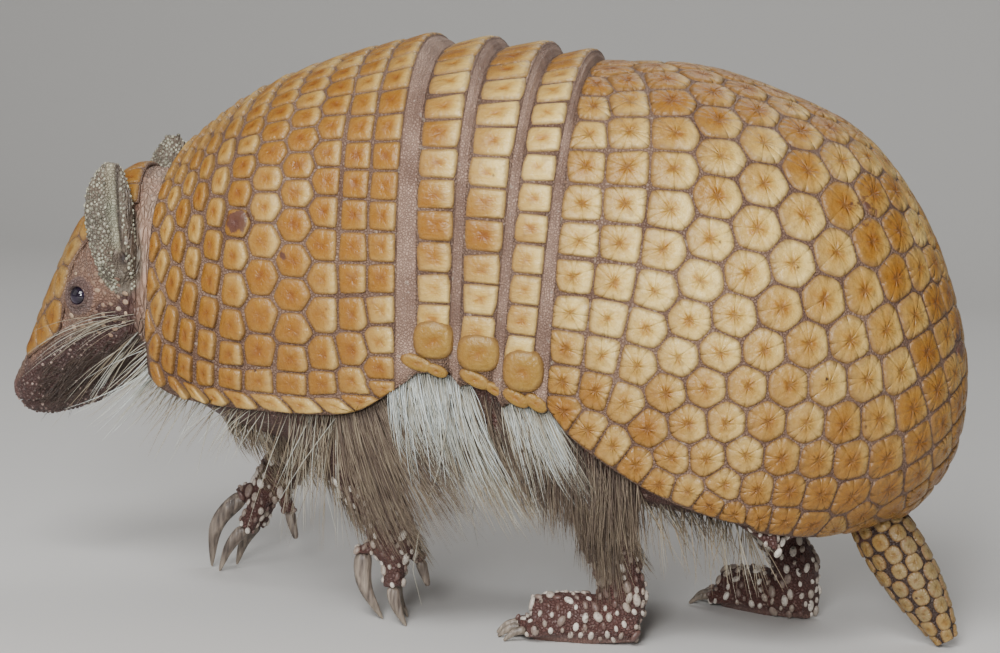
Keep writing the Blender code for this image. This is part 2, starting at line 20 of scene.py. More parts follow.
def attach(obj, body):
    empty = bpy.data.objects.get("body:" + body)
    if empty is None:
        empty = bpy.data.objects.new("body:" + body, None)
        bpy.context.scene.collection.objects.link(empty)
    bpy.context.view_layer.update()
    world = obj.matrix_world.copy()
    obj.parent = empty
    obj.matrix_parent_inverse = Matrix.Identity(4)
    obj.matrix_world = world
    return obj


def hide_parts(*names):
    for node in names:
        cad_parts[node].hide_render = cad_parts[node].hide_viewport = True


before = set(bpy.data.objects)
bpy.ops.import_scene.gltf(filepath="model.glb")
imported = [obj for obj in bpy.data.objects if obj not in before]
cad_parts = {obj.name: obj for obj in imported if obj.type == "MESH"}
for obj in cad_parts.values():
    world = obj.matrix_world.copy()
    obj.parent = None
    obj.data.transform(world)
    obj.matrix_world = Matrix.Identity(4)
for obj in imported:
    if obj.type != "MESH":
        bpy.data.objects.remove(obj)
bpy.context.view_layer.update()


# ============================================================ floor, light and camera
# A sheet of pale paper bends up into a wall behind the animal. A soft key hangs high over
# the camera, a weak wide fill stands on the head's side, a small box near the lens shows
# the polish of the horn, and a soft lamp behind parts the back from the wall.

MM = 0.001
CENTRE_X = 4.2


def placed(points):
    """The animal's millimetres as metres in the frame."""
    return (np.asarray(points, float) + (CENTRE_X, 0, 0)) * MM


def plain_material(name, colour, roughness):
    """A material of one colour and roughness."""
    made = bpy.data.materials.new(name)
    made.use_nodes = True
    shader = made.node_tree.nodes["Principled BSDF"]
    shader.inputs["Base Color"].default_value = (*colour, 1)
    shader.inputs["Roughness"].default_value = roughness
    return made


def in_scene(name, data):
    """A new object of the scene that shows a mesh, or holds a lamp or a lens."""
    thing = bpy.data.objects.new(name, data)
    bpy.context.scene.collection.objects.link(thing)
    return thing


def build_mesh(name, points, faces, finish):
    """A smooth-shaded piece from points in metres and faces."""
    mesh = bpy.data.meshes.new(name)
    mesh.from_pydata(np.asarray(points).tolist(), [], faces)
    mesh.materials.append(finish)
    mesh.shade_smooth()
    return in_scene(name, mesh)


FLOOR_NEAR, FLOOR_DEPTH, FLOOR_HALF_WIDTH = -3.0, 1.5, 4.0
WALL_HEIGHT, WALL_BEND = 1.6, 0.5
FLOOR_GREY = (0.62, 0.61, 0.59)


def studio_floor():
    """A sheet of paper that lies flat and bends up into a wall behind the animal."""
    bend = [(FLOOR_DEPTH - WALL_BEND * (1 - math.sin(t)), WALL_BEND * (1 - math.cos(t)))
            for t in np.linspace(0, math.pi / 2, 13)]
    line = [(FLOOR_NEAR, 0.0), *bend, (FLOOR_DEPTH, WALL_HEIGHT)]
    points = [(x, y, z) for y, z in line for x in (-FLOOR_HALF_WIDTH, FLOOR_HALF_WIDTH)]
    faces = [(2 * i, 2 * i + 1, 2 * i + 3, 2 * i + 2) for i in range(len(line) - 1)]
    floor = build_mesh("studio_floor", points, faces,
                       plain_material("floor_paper", FLOOR_GREY, 0.8))


LAMP_TARGET = Vector((0, 0, 0.07))


def soft_box(name, azimuth, elevation, distance, size, watts):
    """An area lamp that faces the animal from a compass angle (0 is the camera's side)."""
    lamp = bpy.data.lights.new(name, "AREA")
    lamp.shape = "RECTANGLE"
    lamp.size, lamp.size_y = size
    lamp.energy = watts
    thing = in_scene(name, lamp)
    a, e = math.radians(azimuth), math.radians(elevation)
    away = Vector((math.sin(a) * math.cos(e), -math.cos(a) * math.cos(e), math.sin(e)))
    thing.location = away * distance + LAMP_TARGET
    thing.rotation_euler = away.to_track_quat("Z", "Y").to_euler()


CAMERA_AZIMUTH, CAMERA_RISE, CAMERA_ROLL = (math.radians(angle) for angle in (9, 6, 3))
CAMERA_DISTANCE, CAMERA_LENS = 0.75, 103.068
CAMERA_TARGET = Vector((CENTRE_X * MM, 0, 0.075))


def aim_camera():
    """Points the camera at the middle of the body, turned a little about its own axis."""
    lens = bpy.data.cameras.new("camera")
    lens.lens = CAMERA_LENS
    forward = Vector((-math.sin(CAMERA_AZIMUTH) * math.cos(CAMERA_RISE),
                      math.cos(CAMERA_AZIMUTH) * math.cos(CAMERA_RISE), -math.sin(CAMERA_RISE)))
    level = Vector((math.cos(CAMERA_AZIMUTH), math.sin(CAMERA_AZIMUTH), 0))
    above = level.cross(forward)
    right = level * math.cos(CAMERA_ROLL) + above * math.sin(CAMERA_ROLL)
    up = above * math.cos(CAMERA_ROLL) - level * math.sin(CAMERA_ROLL)
    turn = Matrix((right, up, -forward)).transposed().to_4x4()
    camera = in_scene("camera", lens)
    camera.matrix_world = Matrix.Translation(CAMERA_TARGET - forward * CAMERA_DISTANCE) @ turn
    bpy.context.scene.camera = camera


SKY_COLOUR, SKY_STRENGTH = (0.86, 0.85, 0.84, 1), 0.26

studio_floor()
soft_box("key", -6, 38, 1.1, (0.45, 0.45), 11.2)
soft_box("fill", -64, 25, 1.4, (1.0, 1.0), 2.2)
soft_box("lens_box", 2, 14, 0.9, (0.14, 0.14), 5.3)
soft_box("back", 165, 50, 1.3, (0.9, 0.6), 4.4)
aim_camera()
sky = bpy.data.worlds.new("studio_air")
sky.use_nodes = True
sky.node_tree.nodes["Background"].inputs["Color"].default_value = SKY_COLOUR
sky.node_tree.nodes["Background"].inputs["Strength"].default_value = SKY_STRENGTH
bpy.context.scene.world = sky


# ============================================================ front shield
# The shoulder shield is one domed plate of bone under a mosaic of horny scutes. Its front
# rows are narrow beads that face the head, its last rows are squarer and lie in line. The
# scutes are cells round seeds on the plate, each raised into a low dome.

SHELL_ROUND = 2.42
SHELL_TUCK = 0.93
FRONT_TOP = [(-84, 118), (-70, 130.5), (-54, 140), (-38, 146), (-20.5, 151)]
FRONT_EDGE = [(-86, 68), (-83.5, 59.5), (-73, 55), (-45, 54), (-29, 55.5), (-18.5, 62)]
FRONT_WIDTH = [(0, 39), (0.35, 44.5), (1, 48.5)]
FRONT_WIDEST = 0.52
SCUTE_HEIGHT = 1.3
BED_SUNK = 0.82
PLATE_WALL = 1.7
HALF_GRID = 48                   # points across half a plate's grid
SETTLING = 0.6                   # how far a seed moves to its cell's middle in one round


def whole_turn(count):
    """Equal steps once round a circle."""
    return 2 * math.pi * np.arange(count) / count


def between(wanted, at, points):
    """Places at wanted distances along a bent line whose points lie at the given ones."""
    return np.stack([np.interp(wanted, at, values) for values in np.asarray(points, float).T],
                    axis=-1)


def cubic(t, step, start, end, slopes):
    """Values of the smooth curve between two knots a step apart, t of the way along."""
    return ((2 * t**3 - 3 * t**2 + 1) * start + (t**3 - 2 * t**2 + t) * step * slopes[0]
            + (3 * t**2 - 2 * t**3) * end + (t**3 - t**2) * step * slopes[1])


def resampled(line, fractions):
    """Points at fractions of a line's length."""
    length = np.r_[0, np.cumsum(norm(np.diff(line, axis=0), axis=1))]
    return between(np.atleast_1d(fractions) * length[-1], length, line)


def smooth_path(points, fractions):
    """Points of a smooth curve through the given ones, at fractions of its length."""
    knots = np.asarray(points, float)
    chord = norm(np.diff(knots, axis=0), axis=1) ** 0.5
    at = np.r_[0, np.cumsum(chord)]
    last = len(knots) - 1
    slope = np.empty_like(knots)
    for i in range(last + 1):
        a, b = max(i - 1, 0), min(i + 1, last)
        slope[i] = (knots[b] - knots[a]) / (at[b] - at[a])
    dense = np.linspace(0, at[-1], 300)
    k = np.clip(np.searchsorted(at, dense, side="right") - 1, 0, last - 1)
    step = (at[k + 1] - at[k])[:, None]
    t = (dense - at[k])[:, None] / step
    curve = cubic(t, step, knots[k], knots[k + 1], (slope[k], slope[k + 1]))
    return resampled(curve, fractions)


def smooth_value(keys, s):
    """A smooth value at s through (place, value) keys."""
    places, values = np.asarray(keys, float).T
    slopes = np.gradient(values, places)
    s = min(max(s, places[0]), places[-1])
    k = min(max(int(np.searchsorted(places, s, side="right")) - 1, 0), len(places) - 2)
    step = places[k + 1] - places[k]
    return cubic((s - places[k]) / step, step, values[k], values[k + 1], slopes[k:k + 2])


def half_arc(top, edge, width, widest, power, fractions):
    """Half a shell cross-section, from the midline down the left side to the edge."""
    turn = np.linspace(0, math.pi / 2, 48)
    drop = widest * (1 - np.clip(np.cos(turn), 0, 1) ** (2 / power))
    out = np.sin(turn) ** (2 / power)
    if widest < 0.999:
        below = np.linspace(0, 1, 24)[1:]
        tuck = math.sqrt(1 - SHELL_TUCK**2)
        drop = np.r_[drop, widest + (1 - widest) * below]
        out = np.r_[out, np.sqrt(1 - (below * tuck) ** 2)]
    arc = np.stack([top[0] + (edge[0] - top[0]) * drop, -width * out,
                    top[1] + (edge[1] - top[1]) * drop], axis=1)
    return resampled(arc, fractions)


def front_station(s):
    """The front shield's cross-section at s: top, edge, width, widest place, roundness."""
    top = smooth_path(FRONT_TOP, s)[0]
    edge = smooth_path(FRONT_EDGE, s)[0]
    return top, edge, smooth_value(FRONT_WIDTH, s), FRONT_WIDEST, SHELL_ROUND


def shell_grid(station_at, rows=61):
    """A grid over a whole shell piece, front to rear and left edge to right edge."""
    fractions = np.linspace(0, 1, HALF_GRID)
    left = np.array([half_arc(*station_at(s), fractions) for s in np.linspace(0, 1, rows)])
    return np.concatenate([left[:, ::-1], left[:, 1:] * (1, -1, 1)], axis=1)


def grid_quads(rows, count, first=0):
    """The faces of a grid of points, row by row."""
    return [(first + i * count + j, first + (i + 1) * count + j,
             first + (i + 1) * count + j + 1, first + i * count + j + 1)
            for i in range(rows - 1) for j in range(count - 1)]


class Plate:
    """A plate's outer surface as a fine grid: along the body, then left edge to right edge.

    flat holds the same grid laid out nearly to scale: across the back, then along it.
    """

    def __init__(self, grid):
        self.grid = np.asarray(grid)
        rows, count = self.grid.shape[:2]
        half = (count - 1) // 2
        self.reach = norm(np.diff(self.grid[:, half:], axis=1), axis=2).sum(axis=1)
        travel = norm(np.diff(self.grid[:, half], axis=0), axis=1)
        along = np.r_[0, np.cumsum(travel)]
        self.flat = np.stack([self.reach[:, None] * np.linspace(-1, 1, count)[None],
                              along[:, None] * np.ones(count)], axis=2)
        self.points = self.grid.reshape(-1, 3)
        self.spread = self.flat.reshape(-1, 2)
        self.quads = grid_quads(rows, count)
        self.tree = BVHTree.FromPolygons(self.points.tolist(), self.quads)

    def at(self, s, f):
        """Surface point and its flat place at s along and f across, -1 at the left edge."""
        rows, count = self.grid.shape[:2]
        i = min(max(s, 0), 1) * (rows - 1)
        j = (min(max(f, -1), 1) + 1) / 2 * (count - 1)
        a, b = min(int(i), rows - 2), min(int(j), count - 2)
        u, v = i - a, j - b
        weights = ((1 - u) * (1 - v), u * (1 - v), (1 - u) * v, u * v)
        cells = ((a, b), (a + 1, b), (a, b + 1), (a + 1, b + 1))
        return (sum(w * self.grid[c] for w, c in zip(weights, cells)),
                sum(w * self.flat[c] for w, c in zip(weights, cells)))

    def nearest(self, point):
        """Nearest surface point, outward normal and flat place."""
        place, normal, quad, _ = self.tree.find_nearest(Vector(point))
        corners = self.quads[quad]
        weights = poly_3d_calc([Vector(self.points[c]) for c in corners], place)
        flat = sum(w * self.spread[c] for w, c in zip(weights, corners))
        return np.array(place), np.array(normal), flat


def mirrored_beyond(plate, points, flats, reach):
    """For points near a border, their mirror images beyond it."""
    ghosts, ghost_flats = [], []
    for border in (np.s_[0, :], np.s_[-1, :], np.s_[:, 0], np.s_[:, -1]):
        line, line_flat = plate.grid[border], plate.flat[border]
        for point, flat in zip(points, flats):
            gaps = norm(line - point, axis=1)
            k = int(gaps.argmin())
            if gaps[k] < reach:
                ghosts.append(2 * line[k] - point)
                ghost_flats.append(2 * line_flat[k] - flat)
    return np.array(ghosts), np.array(ghost_flats)


def middle_of_circle(a, b, c):
    """The middle of the circle through three points."""
    ab, ac = b - a, c - a
    normal = np.cross(ab, ac)
    offset = np.cross(normal, ab) * ac.dot(ac) + np.cross(ac, normal) * ab.dot(ab)
    return a + offset / (2 * max(normal.dot(normal), 1e-12))


def cell_walls(points, flats, real_count):
    """For each real point, the corners of the patch that lies nearest to it."""
    faces, origins = delaunay_2d_cdt([Vector(f) for f in flats], [], [], 0, 1e-7)[2:4]
    bm = bmesh.new()
    label = bm.verts.layers.int.new("label")
    made = []
    for origin in origins:
        vert = bm.verts.new(points[origin[0]])
        vert[label] = origin[0]
        made.append(vert)
    for face in faces:
        bm.faces.new([made[k] for k in face])
    bmesh.ops.beautify_fill(bm, faces=bm.faces, edges=bm.edges, method="ANGLE")
    walls = {vert[label]: np.array([middle_of_circle(*(np.array(v.co) for v in face.verts))
                                    for face in vert.link_faces])
             for vert in bm.verts if vert[label] < real_count}
    bm.free()
    return walls


def ordered_ring(centre, corners, normal):
    """The corners in order round the centre, counter-clockwise seen from outside."""
    side = np.cross(normal, (0.3, 0.9, 0.2))
    side /= norm(side)
    over = np.cross(normal, side)
    spokes = corners - centre
    return corners[np.argsort(np.arctan2(spokes @ over, spokes @ side))]


def stretched(points, stretch, back=False):
    """Points with their place along the body drawn out, so that cells come out narrow."""
    if stretch is None:
        return points
    points = np.array(points)
    known = stretch[::-1] if back else stretch
    points[:, 0] = np.interp(points[:, 0], *known)
    return points


def settle(plate, seeds, reach, rounds, stretch=None):
    """Cells round the seeds; between rounds each seed moves towards its cell's middle."""
    points = np.array([plate.at(s, f)[0] for s, f in seeds])
    flats = np.array([plate.at(s, f)[1] for s, f in seeds])
    for turn in range(rounds + 1):
        ghosts, ghost_flats = mirrored_beyond(plate, points, flats, reach)
        drawn = stretched(np.vstack([points, ghosts]), stretch)
        walls = cell_walls(drawn, np.vstack([flats, ghost_flats]), len(points))
        rings = {}
        for k, corners in walls.items():
            normal = plate.nearest(points[k])[1]
            corners = stretched(corners, stretch, back=True)
            rings[k] = ordered_ring(points[k], corners, normal)
        if turn < rounds:
            for k, ring in rings.items():
                middle = ring_outline(ring, 24).mean(axis=0)
                place, _, flat = plate.nearest(points[k] * (1 - SETTLING) + middle * SETTLING)
                points[k], flats[k] = place, flat
    return rings


def ring_outline(ring, count, soften=0):
    """A closed outline of an even count that keeps the ring's corners, then eased a little."""
    spans = np.roll(ring, -1, axis=0) - ring
    lengths = norm(spans, axis=1)
    keep = lengths > 0.04 * lengths.sum()
    if keep.sum() < 3:
        keep[:] = True
    ring = ring[keep]
    spans = np.roll(ring, -1, axis=0) - ring
    lengths = norm(spans, axis=1)
    shares = np.maximum(1, np.floor(lengths / lengths.sum() * count)).astype(int)
    while shares.sum() < count:
        shares[np.argmax(lengths / shares)] += 1
    while shares.sum() > count:
        shares[np.argmax(shares)] -= 1
    outline = np.array([corner + span * k / n for corner, span, n in zip(ring, spans, shares)
                        for k in range(n)])
    beside = np.roll(outline, 1, axis=0) + np.roll(outline, -1, axis=0)
    return outline * (1 - soften / 2) + beside * soften / 4


def wire(tree, kind, settings=None, inputs=()):
    """A node with its settings made; each input gets a value or is linked to an output."""
    node = tree.nodes.new(kind)
    for name, value in (settings or {}).items():
        setattr(node, name, value)
    for key, value in inputs:
        if isinstance(value, bpy.types.NodeSocket):
            tree.links.new(value, node.inputs[key])
        else:
            node.inputs[key].default_value = value
    return node


def worked(tree, operation, *values):
    """The outcome of a sum on numbers."""
    return wire(tree, "ShaderNodeMath", {"operation": operation},
                list(enumerate(values))).outputs[0]


def geometry_tree(name, **sockets):
    """A new tree of geometry nodes with its named inputs, and those inputs' outlets."""
    tree = bpy.data.node_groups.new(name, "GeometryNodeTree")
    for label, kind in (("Geometry", "Geometry"), *sockets.items()):
        tree.interface.new_socket(label, in_out="INPUT", socket_type=f"NodeSocket{kind}")
    tree.interface.new_socket("Geometry", in_out="OUTPUT", socket_type="NodeSocketGeometry")
    return tree, wire(tree, "NodeGroupInput").outputs


def close_tree(tree, geometry, finish):
    """Ends a tree: copies made real, the finish set, the result handed out."""
    real = wire(tree, "GeometryNodeRealizeInstances", None, [("Geometry", geometry)])
    paint = wire(tree, "GeometryNodeSetMaterial", None,
                 [("Geometry", real.outputs[0]), ("Material", finish)])
    wire(tree, "NodeGroupOutput", None, [("Geometry", paint.outputs[0])])
    return tree


def own_value(tree, name, kind="FLOAT"):
    """A value that each point or face of the worked mesh carries."""
    return wire(tree, "GeometryNodeInputNamedAttribute", {"data_type": kind},
                [("Name", name)]).outputs[0]


OUTLINE_POINTS = 20
# Rings of a scute from its foot to its middle: share of the outline, share of the height.
SCUTE_RINGS = [(0.985, 0.36), (0.93, 0.62), (0.80, 0.82), (0.55, 0.96), (0.28, 0.98),
               (0.06, 0.84)]


def relief_tree():
    """Raises every face of a mesh of scute outlines into a low dome, ring by ring."""
    tree, start = geometry_tree("scute_relief", Height="Float", Finish="Material")

    def store(geometry, name, kind, value, domain="POINT", selection=True):
        return wire(tree, "GeometryNodeStoreNamedAttribute",
                    {"data_type": kind, "domain": domain},
                    [("Geometry", geometry), ("Name", name), ("Value", value),
                     ("Selection", selection)]).outputs[0]

    place = wire(tree, "GeometryNodeInputPosition").outputs[0]
    facing = wire(tree, "GeometryNodeInputNormal").outputs[0]
    index = wire(tree, "GeometryNodeInputIndex").outputs[0]
    chance = wire(tree, "FunctionNodeRandomValue", {"data_type": "FLOAT"},
                  [("Seed", 7), ("ID", index)]).outputs[1]
    split = wire(tree, "GeometryNodeSplitEdges", None, [("Mesh", start["Geometry"])])
    geometry = store(split.outputs[0], "scute_centre", "FLOAT_VECTOR", place, "FACE")
    geometry = store(geometry, "scute_chance", "FLOAT", chance, "FACE")
    geometry = store(geometry, "scute_up", "FLOAT_VECTOR", facing, "FACE")
    shrunk = wire(tree, "GeometryNodeScaleElements", {"domain": "FACE"},
                  [("Geometry", geometry), ("Scale", own_value(tree, "scute_gap"))])
    tall = worked(tree, "MULTIPLY", start["Height"], own_value(tree, "scute_lift"))
    geometry = store(shrunk.outputs[0], "scute_rim", "FLOAT", 1.0)
    top, before_share, before_height = True, 1.0, 0.0
    for share, height in SCUTE_RINGS:
        step = worked(tree, "MULTIPLY", tall, height - before_height)
        raised = wire(tree, "GeometryNodeExtrudeMesh", {"mode": "FACES"},
                      [("Mesh", geometry), ("Individual", True), ("Selection", top),
                       ("Offset Scale", step)])
        top = raised.outputs["Top"]
        narrow = wire(tree, "GeometryNodeScaleElements", {"domain": "FACE"},
                      [("Geometry", raised.outputs["Mesh"]), ("Selection", top),
                       ("Scale", share / before_share)])
        geometry = store(narrow.outputs[0], "scute_rim", "FLOAT", share, selection=top)
        before_share, before_height = share, height
    smooth = wire(tree, "GeometryNodeSetShadeSmooth", None, [("Geometry", geometry)])
    return close_tree(tree, smooth.outputs[0], start["Finish"])


def settle_modifiers(thing):
    """Makes the thing's modifiers part of its own mesh."""
    graph = bpy.context.evaluated_depsgraph_get()
    mesh = bpy.data.meshes.new_from_object(thing.evaluated_get(graph), depsgraph=graph)
    thing.modifiers.clear()
    thing.data = mesh


def grown(thing, tree, settings):
    """The thing as a plain mesh once a tree of geometry nodes has worked on it."""
    worker = thing.modifiers.new(tree.name, "NODES")
    worker.node_group = tree
    for socket in tree.interface.items_tree:
        if socket.item_type == "SOCKET" and socket.name in settings:
            worker[socket.identifier] = settings[socket.name]
    settle_modifiers(thing)
    return thing.data


def column(rows, field, width=1, kind=float):
    """One field of every vertex, face or corner of a mesh, as an array."""
    values = np.empty(len(rows) * width, kind)
    rows.foreach_get(field, values)
    return values.reshape(-1, width) if width > 1 else values


def body_places(mesh):
    """A mesh's vertices in the animal's millimetres."""
    return column(mesh.vertices, "co", 3) / MM - (CENTRE_X, 0, 0)


VALUE_FIELDS = {"FLOAT": "value", "FLOAT_VECTOR": "vector", "FLOAT_COLOR": "color"}


def write_values(mesh, name, values, kind="FLOAT", domain="POINT"):
    """Keeps a number, a vector or a colour for every point or face of a mesh."""
    layer = mesh.attributes.new(name, kind, domain)
    layer.data.foreach_set(VALUE_FIELDS[kind], np.asarray(values, float).ravel())


def write_map(mesh, flats):
    """The OFBake map: every corner at its vertex's place on the unrolled surface."""
    for layer in list(mesh.uv_layers):
        mesh.uv_layers.remove(layer)
    corners = column(mesh.loops, "vertex_index", kind=int)
    mesh.uv_layers.new(name="OFBake").data.foreach_set("uv", flats[corners].ravel())


RELIEF = relief_tree()


def scute_mosaic(name, plate, seeds, finish, reach, rounds=0, height=SCUTE_HEIGHT, groove=0.968,
                 soften=0.6, stretch=None, left_out=(), lean=None, bead=None):
    """The horny scutes of a plate: cells round the seeds, raised into domes."""
    rings = settle(plate, seeds, reach, rounds, stretch)
    outlines = []
    for k in sorted(set(rings) - set(left_out)):
        outline = ring_outline(rings[k], OUTLINE_POINTS, soften)
        if lean is not None:
            outline = lean(outline)
        spots = [plate.nearest(corner)[:2] for corner in outline]
        outlines.append([place - normal * height for place, normal in spots])
    raised_scutes(name, plate, outlines, finish, height, groove, bead)


def raised_scutes(name, plate, outlines, finish, height, groove, bead=None):
    """One piece of scutes from their outlines, each raised into a dome.

    bead tells, from a scute's place along the body, how far it is drawn in, raised and
    tipped up at its rear.
    """
    verts = [corner for outline in outlines for corner in outline]
    faces = [list(range(k * OUTLINE_POINTS, (k + 1) * OUTLINE_POINTS))
             for k in range(len(outlines))]
    thing = build_mesh(name, placed(verts), faces, finish)
    shapes = np.array([bead(np.mean(outline, axis=0)[0]) if bead else (1.0, 1.0, 0.0)
                       for outline in outlines])
    write_values(thing.data, "scute_gap", shapes[:, 0] * groove, domain="FACE")
    write_values(thing.data, "scute_lift", shapes[:, 1], domain="FACE")
    mesh = grown(thing, RELIEF, {"Height": height * MM, "Finish": finish})
    if bead:
        tip_rearward(mesh, plate, bead)
    lay_flat_map(mesh, plate)
    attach(thing, "root")


def tip_rearward(mesh, plate, bead):
    """Raises the rear of each scute and sinks its front, as tiles that overlap."""
    places = body_places(mesh)
    rims = column(mesh.attributes["scute_rim"].data, "value")
    centres = column(mesh.attributes["scute_centre"].data, "vector", 3) / MM - (CENTRE_X, 0, 0)
    corners = column(mesh.loops, "vertex_index", kind=int)
    own = np.zeros(places.shape)
    own[corners] = np.repeat(centres, column(mesh.polygons, "loop_total", kind=int), axis=0)
    scutes, which = np.unique(np.round(own, 3), axis=0, return_inverse=True)
    which = which.ravel()
    normals = np.array([plate.nearest(centre)[1] for centre in scutes])
    tilts = np.array([bead(centre[0])[2] for centre in scutes])
    rise = tilts[which] * (places[:, 0] - own[:, 0]) * (rims < 0.995)
    places += normals[which] * rise[:, None]
    mesh.vertices.foreach_set("co", placed(places).ravel())


# The part of the OFBake square that a piece's map fills, and where it starts.
MAP_START, MAP_SPAN = 0.01, 0.98


def lay_flat_map(mesh, plate):
    """Gives every corner its place on the plate laid out flat."""
    flats = np.array([plate.nearest(place)[2] for place in body_places(mesh)])
    low = plate.spread.min(axis=0)
    size = (plate.spread.max(axis=0) - low).max()
    write_map(mesh, MAP_START + MAP_SPAN * (flats - low) / size)


def plate_bed(name, plate, finish, node, step=2, sunk=BED_SUNK, thick=PLATE_WALL):
    """The bone under the scutes, sunk by their height, with the groove skin on it."""
    grid = plate.grid[::step, ::step]
    spots = [plate.nearest(place)[:2] for place in grid.reshape(-1, 3)]
    points = [place - normal * sunk for place, normal in spots]
    bed = build_mesh(name, placed(points), grid_quads(*grid.shape[:2]), finish)
    wall = bed.modifiers.new("wall", "SOLIDIFY")
    wall.thickness = thick * MM
    wall.offset = -1
    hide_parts(node)
    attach(bed, "root")


# The noise's level above which a speck starts, less the specks' share, and its soft edge.
SPECK_LEVEL, SPECK_EDGE = 0.78, 0.06


def flecks_group():
    """Uneven colour on three scales: broad blotches, fine grain and small sharp specks."""
    tree = bpy.data.node_groups.new("flecks", "ShaderNodeTree")
    for label, value in (("Blotch Scale", 30.0), ("Grain Scale", 900.0), ("Speck Scale", 350.0),
                         ("Speck Share", 0.1)):
        socket = tree.interface.new_socket(label, in_out="INPUT", socket_type="NodeSocketFloat")
        socket.default_value = value
    for label in ("Blotch", "Grain", "Specks"):
        tree.interface.new_socket(label, in_out="OUTPUT", socket_type="NodeSocketFloat")
    start = wire(tree, "NodeGroupInput").outputs
    place = wire(tree, "ShaderNodeTexCoord").outputs["Object"]
    blotch, grain, speck = (
        wire(tree, "ShaderNodeTexNoise", None,
             [("Vector", place), ("Scale", start[label]), ("Detail", detail)]).outputs["Fac"]
        for label, detail in (("Blotch Scale", 3.0), ("Grain Scale", 2.0), ("Speck Scale", 1.0)))
    floor = worked(tree, "SUBTRACT", SPECK_LEVEL, start["Speck Share"])
    ceiling = worked(tree, "ADD", floor, SPECK_EDGE)
    sharp = wire(tree, "ShaderNodeMapRange", None,
                 [("Value", speck), ("From Min", floor), ("From Max", ceiling)])
    wire(tree, "NodeGroupOutput", None,
         [("Blotch", blotch), ("Grain", grain), ("Specks", sharp.outputs[0])])
    return tree


FLECKS = flecks_group()


class Look:
    """A material in the making: its shader, and short ways to work out what feeds it."""

    def __init__(self, name, colour, roughness):
        self.finish = plain_material(name, colour, roughness)
        self.tree = self.finish.node_tree
        self.shader = self.tree.nodes["Principled BSDF"]
        self.place = self.node("TexCoord").outputs["Object"]

    def node(self, kind, settings=None, inputs=()):
        return wire(self.tree, f"ShaderNode{kind}", settings, inputs)

    def carried(self, name, field="Fac"):
        """A value that the mesh carries."""
        return self.node("Attribute", {"attribute_name": name}).outputs[field]

    def math(self, operation, *values):
        return worked(self.tree, operation, *values)

    def plus(self, first, *others):
        for other in others:
            first = self.math("ADD", first, other)
        return first

    less = functools.partialmethod(math, "SUBTRACT")
    times = functools.partialmethod(math, "MULTIPLY")
    most = functools.partialmethod(math, "MAXIMUM")

    def vectors(self, operation, *values):
        return self.node("VectorMath", {"operation": operation}, list(enumerate(values)))

    def scaled(self, vector, factor):
        return self.node("VectorMath", {"operation": "SCALE"},
                         [(0, vector), ("Scale", factor)]).outputs[0]

    def split(self, vector):
        return self.node("SeparateXYZ", None, [(0, vector)]).outputs

    def drawn(self, scale):
        """The place on the object, stretched."""
        return self.node("Mapping", None,
                         [("Vector", self.place), ("Scale", scale)]).outputs[0]

    def noise(self, place, scale, detail, roughness=0.5, field="Fac"):
        return self.node("TexNoise", None,
                         [("Vector", place), ("Scale", scale), ("Detail", detail),
                          ("Roughness", roughness)]).outputs[field]

    def flecks(self, blotch, grain, speck, share):
        """The outputs of the flecks effect with its own scales."""
        return self.node("Group", {"node_tree": FLECKS},
                         [("Blotch Scale", blotch), ("Grain Scale", grain),
                          ("Speck Scale", speck), ("Speck Share", share)]).outputs

    def blend(self, factor, first, second, kind="MIX"):
        """A colour between two others, each a node's or plain."""
        first, second = ((*c, 1) if isinstance(c, tuple) else c for c in (first, second))
        return self.node("Mix", {"data_type": "RGBA", "blend_type": kind},
                         [(0, factor), (6, first), (7, second)]).outputs[2]

    def span(self, value, low, high, to_low=0.0, to_high=1.0):
        """A value carried from one span to another and kept inside it."""
        return self.node("MapRange", None,
                         [("Value", value), ("From Min", low), ("From Max", high),
                          ("To Min", to_low), ("To Max", to_high)]).outputs[0]

    def steps(self, value, steps):
        """A colour that runs through steps of (value, colour)."""
        ramp = self.node("ValToRGB", None, [("Fac", value)])
        marks = ramp.color_ramp.elements
        for mark, (place, colour) in zip(marks, (steps[0], steps[-1])):
            mark.position, mark.color = place, (*colour, 1)
        for place, colour in steps[1:-1]:
            marks.new(place).color = (*colour, 1)
        return ramp.outputs[0]

    def relief(self, height, distance, strength=1.0):
        return self.node("Bump", None,
                         [("Height", height), ("Distance", distance),
                          ("Strength", strength)]).outputs[0]

    def wrinkles(self, place, scale, depth):
        """A network of fine folds: the shade of the creases, and their relief."""
        bent = self.scaled(self.noise(place, scale * 0.35, 2.0, field="Color"), 1.1 / scale)
        moved = self.vectors("ADD", place, bent).outputs[0]
        cells = self.node("TexVoronoi", {"feature": "DISTANCE_TO_EDGE"},
                          [("Vector", moved), ("Scale", scale)]).outputs["Distance"]
        crease = self.span(cells, 0.0, 0.22)
        return crease, self.relief(crease, depth, 0.8)

    def dress(self, colour, roughness=None, normal=None):
        """Feeds the shader and hands over the material."""
        for label, source in (("Base Color", colour), ("Roughness", roughness),
                              ("Normal", normal)):
            if source is not None:
                self.tree.links.new(source, self.shader.inputs[label])
        return self.finish


# Horn colours from the middle of a scute to its rim. The last, dark step is painted shade at the
# foot of each scute.
GOLDEN_HORN = [(0.0, (0.205, 0.068, 0.008)), (0.22, (0.245, 0.096, 0.011)),
               (0.6, (0.280, 0.125, 0.017)), (0.86, (0.32, 0.165, 0.032)),
               (1.0, (0.15, 0.078, 0.034))]
STRAW_HORN = [(0.0, (0.42, 0.205, 0.034)), (0.2, (0.53, 0.315, 0.070)),
              (0.5, (0.65, 0.445, 0.122)), (0.86, (0.73, 0.54, 0.19)),
              (1.0, (0.27, 0.17, 0.08))]
